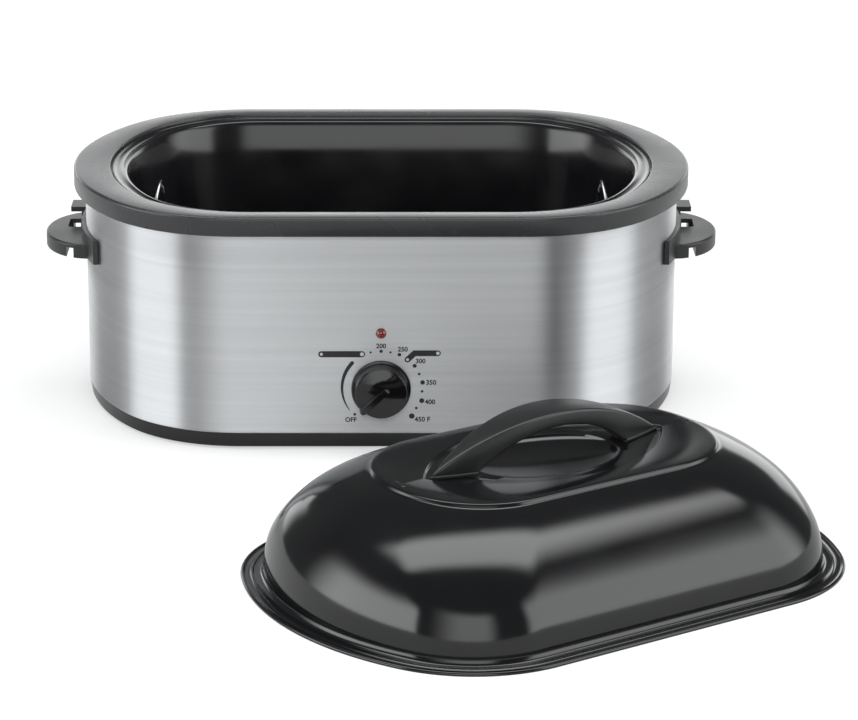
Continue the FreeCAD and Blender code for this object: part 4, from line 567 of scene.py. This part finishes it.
def make_knob():
    """Knob: a turned body with a domed face, and a ridge across it that points to off."""
    back = STEEL_FRONT - KNOB_GAP
    ring = back - KNOB_SKIRT
    face = ring - KNOB_BODY
    profile = [(6.0, back), (24.9, back), (25.7, back - 0.3), (25.9, back - 1.0),
               (25.9, ring + 1.0), (25.6, ring + 0.3), (25.0, ring), (24.3, ring - 0.1),
               (24.0, ring - 0.7), (23.2, ring - 4.0), (22.7, face + 1.4)]
    edge = quarter_turn((21.2, face + 0.4), 1.4, 0.0, -55.0, 6)
    share = np.linspace(0.92, 0.0, 12)[:, None]
    depth = face - DOME_DEPTH * (1.0 - share ** 2) - 0.55 * share
    dome = np.concatenate([DOME_RADIUS * share, depth], axis=1)[:-1]
    rings = turned(np.concatenate([profile, edge, dome]))
    rings[..., 2] += KNOB_HEIGHT
    body = ring_surface("knob_body", rings, FINISHES["knob_black"], "knob")
    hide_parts("temperature_knob")
    make_pointer(face)


def make_pointer(face):
    """Pointer ridge: at each station along it a section with sloping sides.

    The section's half width and height swell from the rounded tail, stay even
    along the bar and close at the tip over the knob's edge.
    """
    along = np.concatenate([np.linspace(-9.0, -6.5, 6), np.linspace(-3.0, 17.5, 12),
                            np.linspace(19.5, 24.6, 8)])
    tail = np.sqrt(np.clip(1.0 - ((-6.0 - np.minimum(along, -6.0)) / 3.05) ** 2, 0.02, 1.0))
    tip = np.sqrt(np.clip(1.0 - ((np.maximum(along, 19.0) - 19.0) / 5.7) ** 2, 0.02, 1.0))
    swell = tail * tip
    section = np.array([(-1.0, 0.0), (-0.93, 0.55), (-0.62, 0.93), (-0.50, 1.0), (0.50, 1.0),
                        (0.62, 0.93), (0.93, 0.55), (1.0, 0.0)])
    bottom = face + 6.0
    top = face - 9.5
    across = 4.5 * swell[:, None] * section[:, 0][None, :]
    depth = bottom + (top - bottom) * section[:, 1][None, :] * (0.62 + 0.38 * swell[:, None])
    length = np.broadcast_to(along[:, None], across.shape)
    turn = math.radians(POINTER_ANGLE)
    x = length * math.sin(turn) + across * math.cos(turn)
    z = length * math.cos(turn) - across * math.sin(turn) + KNOB_HEIGHT
    rings = np.stack([x, depth, z], axis=-1)
    ring_surface("knob_pointer", rings[:, ::-1], FINISHES["knob_black"], "knob",
                 smooth_angle=40.0)


def make_jewel():
    """Indicator jewel: a turned bezel ring and a smooth dome in it."""
    base = STEEL_FRONT
    profile = [(3.8, base + 5.8), (3.8, base), (4.4, base), (4.65, base - 0.3),
               (4.65, base - 0.8), (4.4, base - 1.0), (4.2, base - 1.0)]
    share = np.linspace(1.0, 0.0, 10)[:, None]
    dome = np.concatenate([4.15 * share, base - 1.0 - 3.1 * (1.0 - share ** 2) ** 0.6],
                          axis=1)[:-1]
    rings = turned(np.concatenate([profile, dome]), 48)
    rings[..., 2] += JEWEL_HEIGHT
    piece = ring_surface("indicator_jewel", rings, FINISHES["red_lens"], "roaster")
    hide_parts("indicator_lens")


INK_LIFT = 0.12


def plate(outline, lift=INK_LIFT, base=0.0):
    """A thin flat print on the steel front, from an outline of x and z."""
    outline = np.asarray(outline, float)
    rows = []
    for depth, share in ((base, 1.0), (base + lift, 1.0)):
        y = np.full((len(outline), 1), STEEL_FRONT - depth)
        rows.append(np.concatenate([outline[:, :1], y, outline[:, 1:]], axis=1))
    count = len(outline)
    faces = ring_faces(2, count, False)
    faces += [list(range(count))[::-1], list(range(count, 2 * count))]
    points = np.concatenate(rows)
    return points, faces


def join_plates(name, plates, finish):
    """Several flat prints as one piece."""
    points, faces, start = [], [], 0
    for corner_points, corner_faces in plates:
        points.append(corner_points)
        faces += [[index + start for index in face] for face in corner_faces]
        start += len(corner_points)
    return build_mesh(name, np.concatenate(points), faces, finish, "roaster")


def dial_point(angle, radius):
    """Point of the dial at an angle clockwise from the top."""
    turn = math.radians(angle)
    return (radius * math.sin(turn), KNOB_HEIGHT + radius * math.cos(turn))


def disc(centre, radius, steps=24):
    """Outline of a round dot."""
    angle = np.linspace(0.0, 2.0 * math.pi, steps, endpoint=False)
    return np.stack([centre[0] + radius * np.cos(angle),
                     centre[1] + radius * np.sin(angle)], axis=-1)


def stroke(points, half_width, steps=9):
    """Outline of a stroke with round ends through two or more points."""
    points = np.asarray(points, float)
    step = np.diff(points, axis=0)
    step /= np.linalg.norm(step, axis=1)[:, None]
    normal = np.stack([-step[:, 1], step[:, 0]], axis=-1)
    middle = normal[:-1] + normal[1:]
    if len(middle):
        middle /= (middle * normal[1:]).sum(axis=1)[:, None]
    sides = np.concatenate([normal[:1], middle, normal[-1:]])
    left = points + sides * half_width
    right = points - sides * half_width

    def cap(centre, direction, start):
        angle = start + np.linspace(0.0, math.pi, steps)[1:-1]
        turn = math.atan2(direction[1], direction[0])
        return np.stack([centre[0] + half_width * np.cos(angle + turn),
                         centre[1] + half_width * np.sin(angle + turn)], axis=-1)

    far = cap(points[-1], step[-1], -math.pi / 2)
    near = cap(points[0], step[0], math.pi / 2)
    return np.concatenate([right, far, left[::-1], near])


def crescent(start, stop, radius, thick, steps=40):
    """Outline of a tapering arc: thick at its start and a thin line at its end."""
    share = np.linspace(0.0, 1.0, steps)
    angle = np.radians(start + (stop - start) * share)
    half = (thick * (1.0 - share) ** 0.55 + 0.12) / 2.0
    half[0] *= 0.6
    outer = np.stack([(radius + half) * np.sin(angle),
                      KNOB_HEIGHT + (radius + half) * np.cos(angle)], axis=-1)
    inner = np.stack([(radius - half) * np.sin(angle),
                      KNOB_HEIGHT + (radius - half) * np.cos(angle)], axis=-1)
    return np.concatenate([inner, outer[::-1]])


def clockwise(outline):
    """The outline in the order that makes a print's front face outwards."""
    x, z = outline[:, 0], outline[:, 1]
    area = (x * np.roll(z, -1) - np.roll(x, -1) * z).sum()
    return outline if area > 0 else outline[::-1]


# Each dot's angle clockwise from the top, its distance from the knob's axis, its radius.
DIAL_DOTS = [
    (-136.3, 33.2, 1.25), (0.0, 33.6, 1.5), (27.5, 34.4, 1.6), (55.0, 35.5, 1.8),
    (81.8, 36.4, 2.0), (108.0, 37.2, 2.2), (133.8, 37.0, 2.45), (-15.6, 33.8, 1.0),
    (14.0, 33.6, 1.0), (68.7, 35.4, 1.2), (94.8, 35.7, 1.2), (120.8, 35.7, 1.2),
]
# Each word, its middle as x and height, and its size.
DIAL_WORDS = [
    ("200", (0.0, 94.2), 4.6), ("250", (18.8, 91.2), 4.6), ("300", (34.2, 80.5), 4.6),
    ("350", (43.4, 61.0), 4.8), ("400", (42.6, 43.2), 4.8), ("450 F", (36.0, 27.2), 4.8),
    ("OFF", (-26.4, 26.9), 4.6),
]
LETTER_SCALE = 1.25
LETTER_WEIGHT = 0.00018


def make_dial_marks():
    """Dots, crescent and the two plain badges round the knob."""
    outlines = [disc(dial_point(angle, radius), size) for angle, radius, size in DIAL_DOTS]
    outlines.append(crescent(-45.0, -128.0, 34.0, 3.3))
    outlines.append(stroke([(-51.8, 86.9), (-16.6, 86.9)], 2.8))
    outlines.append(stroke([(49.2, 87.8), (29.0, 87.8), (22.9, 82.0)], 2.6))
    plates = [plate(clockwise(outline)) for outline in outlines]
    join_plates("dial_marks", plates, DIAL_INK)
    spots = [disc((-51.8, 86.9), 1.3), disc((-16.6, 86.9), 1.7), disc((49.2, 87.8), 1.5),
             disc((22.9, 82.0), 1.3)]
    plates = [plate(clockwise(outline), 0.08, INK_LIFT) for outline in spots]
    join_plates("badge_dots", plates, BADGE_PAPER)


def make_dial_words():
    """Numbers of the dial and OFF, as thin raised print."""
    for number, (word, place, size) in enumerate(DIAL_WORDS):
        data = bpy.data.curves.new("dial_word", "FONT")
        data.body = word
        data.align_x = "CENTER"
        data.align_y = "CENTER"
        data.size = size * LETTER_SCALE * MM
        data.extrude = INK_LIFT * MM / 2.0
        data.offset = LETTER_WEIGHT
        data.resolution_u = 4
        letter = bpy.data.objects.new("dial_word", data)
        letter.rotation_euler = (math.pi / 2.0, 0.0, 0.0)
        letter.location = (place[0] * MM, (STEEL_FRONT - INK_LIFT / 2.0) * MM, place[1] * MM)
        bpy.context.scene.collection.objects.link(letter)
        bpy.context.view_layer.update()
        mesh = bpy.data.meshes.new_from_object(letter)
        mesh.transform(letter.matrix_world)
        bpy.data.objects.remove(letter)
        piece = bpy.data.objects.new("dial_word_%d" % number, mesh)
        bpy.context.scene.collection.objects.link(piece)
        mesh.materials.clear()
        mesh.materials.append(DIAL_INK)
        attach(piece, "roaster")


# Lid

def polar_of(outline):
    """Angle of each point of an outline about the middle."""
    return np.arctan2(outline[:, 1], outline[:, 0])


def arc_radius(half_chord, rise):
    """Radius of the circle arc that rises over a chord."""
    return (half_chord ** 2 + rise ** 2) / (2.0 * rise)


def lens_outline(angle, half_length, half_width):
    """Points of a lens outline, two equal arcs, at given angles about its middle.

    The distance r solves |(r cos a, r |sin a| + offset)| = R for the arcs' radius R
    and the offset of their centres.
    """
    radius = arc_radius(half_length, half_width)
    offset = radius - half_width
    c, s = np.cos(angle), np.abs(np.sin(angle))
    distance = -offset * s + np.sqrt(radius ** 2 - (offset * c) ** 2)
    return np.stack([distance * c, distance * np.sin(angle)], axis=-1)


def ellipse_outline(angle, half_length, half_width):
    """Points of an ellipse at given angles about its middle."""
    c, s = np.cos(angle), np.sin(angle)
    distance = 1.0 / np.sqrt((c / half_length) ** 2 + (s / half_width) ** 2)
    return np.stack([distance * c, distance * s], axis=-1)


def curve_through(knots, count):
    """Rings on a smooth curve through four knots: a cubic per span with shared slopes.

    knots holds whole rings, so every station has its own curve. Spans are timed
    by the mean distance between neighbouring rings.
    """
    knots = np.asarray(knots, float)
    gaps = np.linalg.norm(np.diff(knots, axis=0), axis=-1).mean(axis=1)
    time = np.concatenate([[0.0], np.cumsum(gaps)])
    slopes = np.gradient(knots, time, axis=0, edge_order=2)
    rings = []
    for span in range(len(knots) - 1):
        t = np.linspace(0.0, 1.0, count, endpoint=False)[:, None, None]
        width = time[span + 1] - time[span]
        first, last = knots[span][None], knots[span + 1][None]
        leave, arrive = slopes[span][None] * width, slopes[span + 1][None] * width
        rings.append((2 * t ** 3 - 3 * t ** 2 + 1) * first + (t ** 3 - 2 * t ** 2 + t) * leave
                     + (3 * t ** 2 - 2 * t ** 3) * last + (t ** 3 - t ** 2) * arrive)
    return np.concatenate(rings + [knots[-1:]])


LID_COUNTS = {"ends": 16, "corners": 28, "sides": 26}
LID_WALL = 1.4
# The crown's step to the raised panel, as pairs of inset and height.
CROWN_STEP = [(2.6, 93.5), (3.3, 94.4), (3.8, 96.0), (4.6, 96.8), (5.8, 97.0), (8.0, 97.0)]
# The recess: half length, half width and height of its lens outlines, then its bowl.
RECESS_STEP = [(117.0, 63.0, 97.0), (116.2, 62.3, 96.8), (115.6, 61.6, 96.2),
               (115.2, 61.2, 94.8), (114.8, 60.8, 94.2), (113.6, 59.8, RECESS_FLOOR),
               (92.0, 52.0, RECESS_FLOOR)]
BOWL = (66.0, 46.0, 10.0)
# The flange with its two beads, as pairs of inset and height.
FLANGE = [(20.9, 3.0), (20.2, 2.0), (19.2, 1.5), (18.0, 1.4), (14.6, 1.4), (14.1, 1.7),
          (13.6, 2.2), (13.0, 2.3), (12.4, 2.2), (11.9, 1.7), (11.4, 1.4), (8.0, 1.4),
          (7.2, 1.6), (6.6, 2.4), (5.9, 2.9), (5.2, 2.9), (4.5, 2.4), (4.1, 1.6),
          (4.0, 0.8), (4.3, 0.1), (5.0, 0.0), (22.6, 0.0)]
VENT_PLACE = 138.0
VENT_LENGTH = 5.0


def lid_ring(sizes, inset, height):
    """One ring of the lid with its finer spacing."""
    return at_height(oval(sizes, inset, **LID_COUNTS), height)


def lid_side(wall):
    """Rings of the lid's high dome, shrunk by a wall, from the flange to the crown."""
    knots = [lid_ring(MOUTH, 22.0 + wall, 0.0), lid_ring(MOUTH, 26.0 + wall, 30.0),
             lid_ring(SHOULDER, wall, 62.0 - wall), lid_ring(CROWN, wall, 93.0 - wall)]
    return curve_through(knots, 14)


def lid_crown(drop):
    """Rings of the lid's top from the panel's step to the middle, lowered by a drop."""
    rings = [lid_ring(CROWN, inset, height - drop) for inset, height in CROWN_STEP]
    angle = polar_of(oval(CROWN, 8.0, **LID_COUNTS))
    for half_length, half_width, height in RECESS_STEP:
        outline = lens_outline(angle, half_length, half_width)
        rings.append(at_height(outline, height - drop))
    half_length, half_width, depth = BOWL
    for tilt in np.radians(np.linspace(4.0, 86.0, 14)):
        share = math.cos(tilt)
        outline = ellipse_outline(angle, half_length * share, half_width * share)
        rings.append(at_height(outline, RECESS_FLOOR - depth * math.sin(tilt) - drop))
    return np.array(rings)


def make_lid():
    """Lid shell: from the middle of the top down the dome, round the flange and back."""
    outer = lid_side(0.0)
    outer = outer[outer[:, 0, 2] > 4.5]
    flange = [lid_ring(MOUTH, inset, height) for inset, height in FLANGE]
    inner = lid_side(LID_WALL)
    inner = inner[inner[:, 0, 2] > 0.6]
    rings = np.concatenate([lid_crown(0.0)[::-1], outer[::-1], flange, inner,
                            lid_crown(LID_WALL)])
    piece = ring_surface("lid_dome", place_lid(rings)[:, ::-1], FINISHES["lid_gloss"], "lid",
                         smooth_angle=50.0)
    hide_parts("lid_shell")
    make_vents()


def make_vents():
    """Vent slots: a thin raised lip at each end of the panel, and in it a dark piece of
    painted shade for the open slot.
    """
    for number, middle in enumerate((-VENT_PLACE, VENT_PLACE)):
        centre_line = np.array([(middle, -VENT_LENGTH), (middle, VENT_LENGTH)])
        rings = []
        for half, height in ((2.4, 96.6), (2.4, 97.1), (2.0, 97.35), (1.7, 97.2), (1.6, 96.9)):
            rings.append(at_height(stroke(centre_line, half), height))
        ring_surface("vent_lip_%d" % number, place_lid(np.array(rings)),
                     FINISHES["lid_gloss"], "lid")
        # The slot's floor is a near-black piece: painted shade that stands for the open hole.
        floor = [at_height(stroke(centre_line, 1.62), height) for height in (96.9, 97.12)]
        ring_surface("vent_slot_painted_shade_%d" % number, place_lid(np.array(floor)), SLOT_PAINTED_SHADE, "lid")


def lens_half_width(x, half_length, half_width):
    """Half width of a lens outline at a distance from its middle."""
    radius = arc_radius(half_length, half_width)
    return np.sqrt(np.clip(radius ** 2 - x ** 2, 0.0, None)) - (radius - half_width)


def arch_height(x, half_length, low, rise):
    """Height of a circle arc over a chord at a distance from its middle."""
    radius = arc_radius(half_length, rise)
    return low + rise - radius + np.sqrt(np.clip(radius ** 2 - x ** 2, 0.0, None))


def rounded_section(half, low, high, corner, steps=4):
    """Closed rounded rectangles, one per station, from half widths and two heights."""
    angle = np.radians(np.concatenate([np.linspace(start, start + 90.0, steps)
                                       for start in (0.0, 90.0, 180.0, 270.0)]))
    side = np.repeat([1.0, -1.0, -1.0, 1.0], steps)
    lift = np.repeat([1.0, 1.0, -1.0, -1.0], steps)
    radius = np.minimum(np.minimum(corner, half * 0.9), (high - low) * 0.45)[:, None]
    across = side[None, :] * (half[:, None] - radius) + radius * np.cos(angle)[None, :]
    middle = ((high + low) / 2.0)[:, None]
    reach = ((high - low) / 2.0)[:, None] - radius
    return across, middle + lift[None, :] * reach + radius * np.sin(angle)[None, :]


# Half lengths of the lid handle and of the finger space under it.
GRIP_TIP = 108.0
GRIP_INNER = 72.0


def make_grip():
    """Lid handle: rounded sections along an arch, narrow and low at both tips."""
    x = np.concatenate([np.linspace(-107.6, -73.0, 24), np.linspace(-71.0, 71.0, 60),
                        np.linspace(73.0, 107.6, 24)])
    half = lens_half_width(x, GRIP_TIP, 17.0) + 0.25
    high = arch_height(x, GRIP_TIP, RECESS_FLOOR + 4.0, 36.0)
    low = np.where(np.abs(x) < GRIP_INNER, arch_height(x, GRIP_INNER, RECESS_FLOOR, 28.0),
                   RECESS_FLOOR)
    across, height = rounded_section(half, low, high, 2.2)
    length = np.broadcast_to(x[:, None], across.shape)
    rings = np.stack([length, across, height], axis=-1)
    grip = ring_surface("grip_arch", place_lid(rings), FINISHES["handle_black"],
                        "lid", smooth_angle=40.0)
    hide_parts("lid_handle")
    for number, side in enumerate((-1.0, 1.0)):
        x = np.linspace(GRIP_INNER, 110.8, 26)
        half = lens_half_width(x, 111.0, 20.0) + 0.1
        low = np.full(len(x), RECESS_FLOOR)
        across, height = rounded_section(half, low, low + 3.0, 0.9)
        length = np.broadcast_to(side * x[:, None], across.shape)
        rings = np.stack([length, across, height], axis=-1)
        if side < 0:
            rings = rings[:, ::-1]
        ring_surface("grip_foot_%d" % number, place_lid(rings),
                     FINISHES["handle_black"], "lid")


# Stage and light

FLOOR_GLOW = 0.48
MIRRORED_SHARE = 0.3
FRONT_LEVEL = 2.16
RIGHT_LEVEL = 2.98
LEFT_LEVEL = 3.98
CEILING_LEVEL = 4.50
BACKDROP_LEVEL = 2.00
GAP_LEVEL = 0.12

# Soft upright panels round the object. Azimuths are in degrees from the camera's
# side and grow towards the right, and elevations are in degrees above the counter.
# Each row holds the first azimuth and its softness, the last azimuth and its
# softness, the lowest and highest elevation, their softness, and the brightness.
PANELS = [
    (-26.0, 18.0, 19.0, 8.0, -8.0, 36.0, 6.0, FRONT_LEVEL),
    (54.0, 5.0, 106.0, 14.0, -5.0, 36.0, 8.0, RIGHT_LEVEL),
    (-105.0, 12.0, -53.0, 3.0, -5.0, 26.0, 6.0, LEFT_LEVEL),
]
# The backdrop's row counts its azimuths the same way to both sides.
BACKDROP = (143.0, 4.0, 190.0, 2.0, -12.0, 16.2, 1.2, BACKDROP_LEVEL)
# The ceiling's edges and their softness, in x / z and in y / z.
CEILING_ACROSS = (-0.85, 0.20, 0.85, 0.20)
CEILING_ALONG = (-0.18, 0.10, 0.32, 0.10)
FLOOR_COLOUR = (0.52, 0.52, 0.52, 1.0)
FLOOR_REACH = 14.0
DAYLIGHT = (0.985, 0.995, 1.0, 1.0)


def soft_window(tree, value, low, low_soft, high, high_soft):
    """One between two values and zero outside them, with smooth edges."""
    edges = []
    for edge, soft, before, after in ((low, low_soft, 0.0, 1.0), (high, high_soft, 1.0, 0.0)):
        item = add(tree, "ShaderNodeMapRange", interpolation_type="SMOOTHSTEP")
        tree.links.new(value, item.inputs["Value"])
        item.inputs["From Min"].default_value = edge - soft
        item.inputs["From Max"].default_value = edge + soft
        item.inputs["To Min"].default_value = before
        item.inputs["To Max"].default_value = after
        edges.append(item.outputs["Result"])
    return maths(tree, "MULTIPLY", *edges)


def pale_material():
    """Matt floor that reads as white: it also glows to the eye, and faintly in gloss."""
    material = bpy.data.materials.new("pale_floor")
    material.use_nodes = True
    tree = material.node_tree
    tree.nodes.clear()
    out = add(tree, "ShaderNodeOutputMaterial")
    matt = add(tree, "ShaderNodeBsdfDiffuse")
    matt.inputs["Color"].default_value = FLOOR_COLOUR
    glow = add(tree, "ShaderNodeEmission")
    path = add(tree, "ShaderNodeLightPath")
    mirrored = maths(tree, "MAXIMUM", path.outputs["Is Glossy Ray"],
                     path.outputs["Is Transmission Ray"])
    faint = maths(tree, "MULTIPLY", mirrored, MIRRORED_SHARE)
    seen = maths(tree, "MAXIMUM", path.outputs["Is Camera Ray"], faint)
    strength = maths(tree, "MULTIPLY", seen, FLOOR_GLOW)
    tree.links.new(strength, glow.inputs["Strength"])
    both = add(tree, "ShaderNodeAddShader")
    tree.links.new(matt.outputs["BSDF"], both.inputs[0])
    tree.links.new(glow.outputs["Emission"], both.inputs[1])
    tree.links.new(both.outputs["Shader"], out.inputs["Surface"])
    return material


def make_floor():
    """Wide flat floor at the counter's level."""
    mesh = bpy.data.meshes.new("floor")
    corners = [(x * FLOOR_REACH, y * FLOOR_REACH, COUNTER)
               for x, y in ((-1, -1), (1, -1), (1, 1), (-1, 1))]
    mesh.from_pydata(corners, [], [(0, 1, 2, 3)])
    floor = bpy.data.objects.new("floor", mesh)
    mesh.materials.append(pale_material())
    bpy.context.scene.collection.objects.link(floor)


def make_world():
    """Studio of soft upright panels, a ceiling panel and a low bright backdrop.

    A panel's light is its level times a window in azimuth, atan2(x, -y), times a
    window in elevation, asin(z). The ceiling is flat, so its windows are in x / z
    and y / z.
    """
    world = bpy.data.worlds.new("studio")
    bpy.context.scene.world = world
    world.use_nodes = True
    tree = world.node_tree
    background = tree.nodes["Background"]
    place = add(tree, "ShaderNodeTexCoord")
    split = add(tree, "ShaderNodeSeparateXYZ")
    tree.links.new(place.outputs["Generated"], split.inputs["Vector"])
    x, y, z = (split.outputs[axis] for axis in "XYZ")
    azimuth = maths(tree, "ARCTAN2", x, maths(tree, "MULTIPLY", y, -1.0))
    elevation = maths(tree, "ARCSINE", z)
    rows = [(azimuth, *row) for row in PANELS]
    rows.append((maths(tree, "ABSOLUTE", azimuth), *BACKDROP))
    total = GAP_LEVEL
    for around, first, first_soft, last, last_soft, low, high, soft, level in rows:
        across = soft_window(tree, around, math.radians(first), math.radians(first_soft),
                             math.radians(last), math.radians(last_soft))
        upright = soft_window(tree, elevation, math.radians(low), math.radians(soft),
                              math.radians(high), math.radians(soft))
        light = maths(tree, "MULTIPLY", maths(tree, "MULTIPLY", across, upright), level)
        total = maths(tree, "ADD", light, total)
    height = maths(tree, "MAXIMUM", z, 0.05)
    across = soft_window(tree, maths(tree, "DIVIDE", x, height), *CEILING_ACROSS)
    along = soft_window(tree, maths(tree, "DIVIDE", y, height), *CEILING_ALONG)
    above = soft_window(tree, z, 0.3, 0.1, 2.0, 0.1)
    ceiling = maths(tree, "MULTIPLY", maths(tree, "MULTIPLY", across, along), above)
    total = maths(tree, "ADD", maths(tree, "MULTIPLY", ceiling, CEILING_LEVEL), total)
    background.inputs["Color"].default_value = DAYLIGHT
    tree.links.new(total, background.inputs["Strength"])


add_camera()
dress_nodes()
make_steel_band()
make_collar()
make_pan()
make_knob()
make_jewel()
make_dial_marks()
make_dial_words()
make_lid()
make_grip()
make_floor()
make_world()
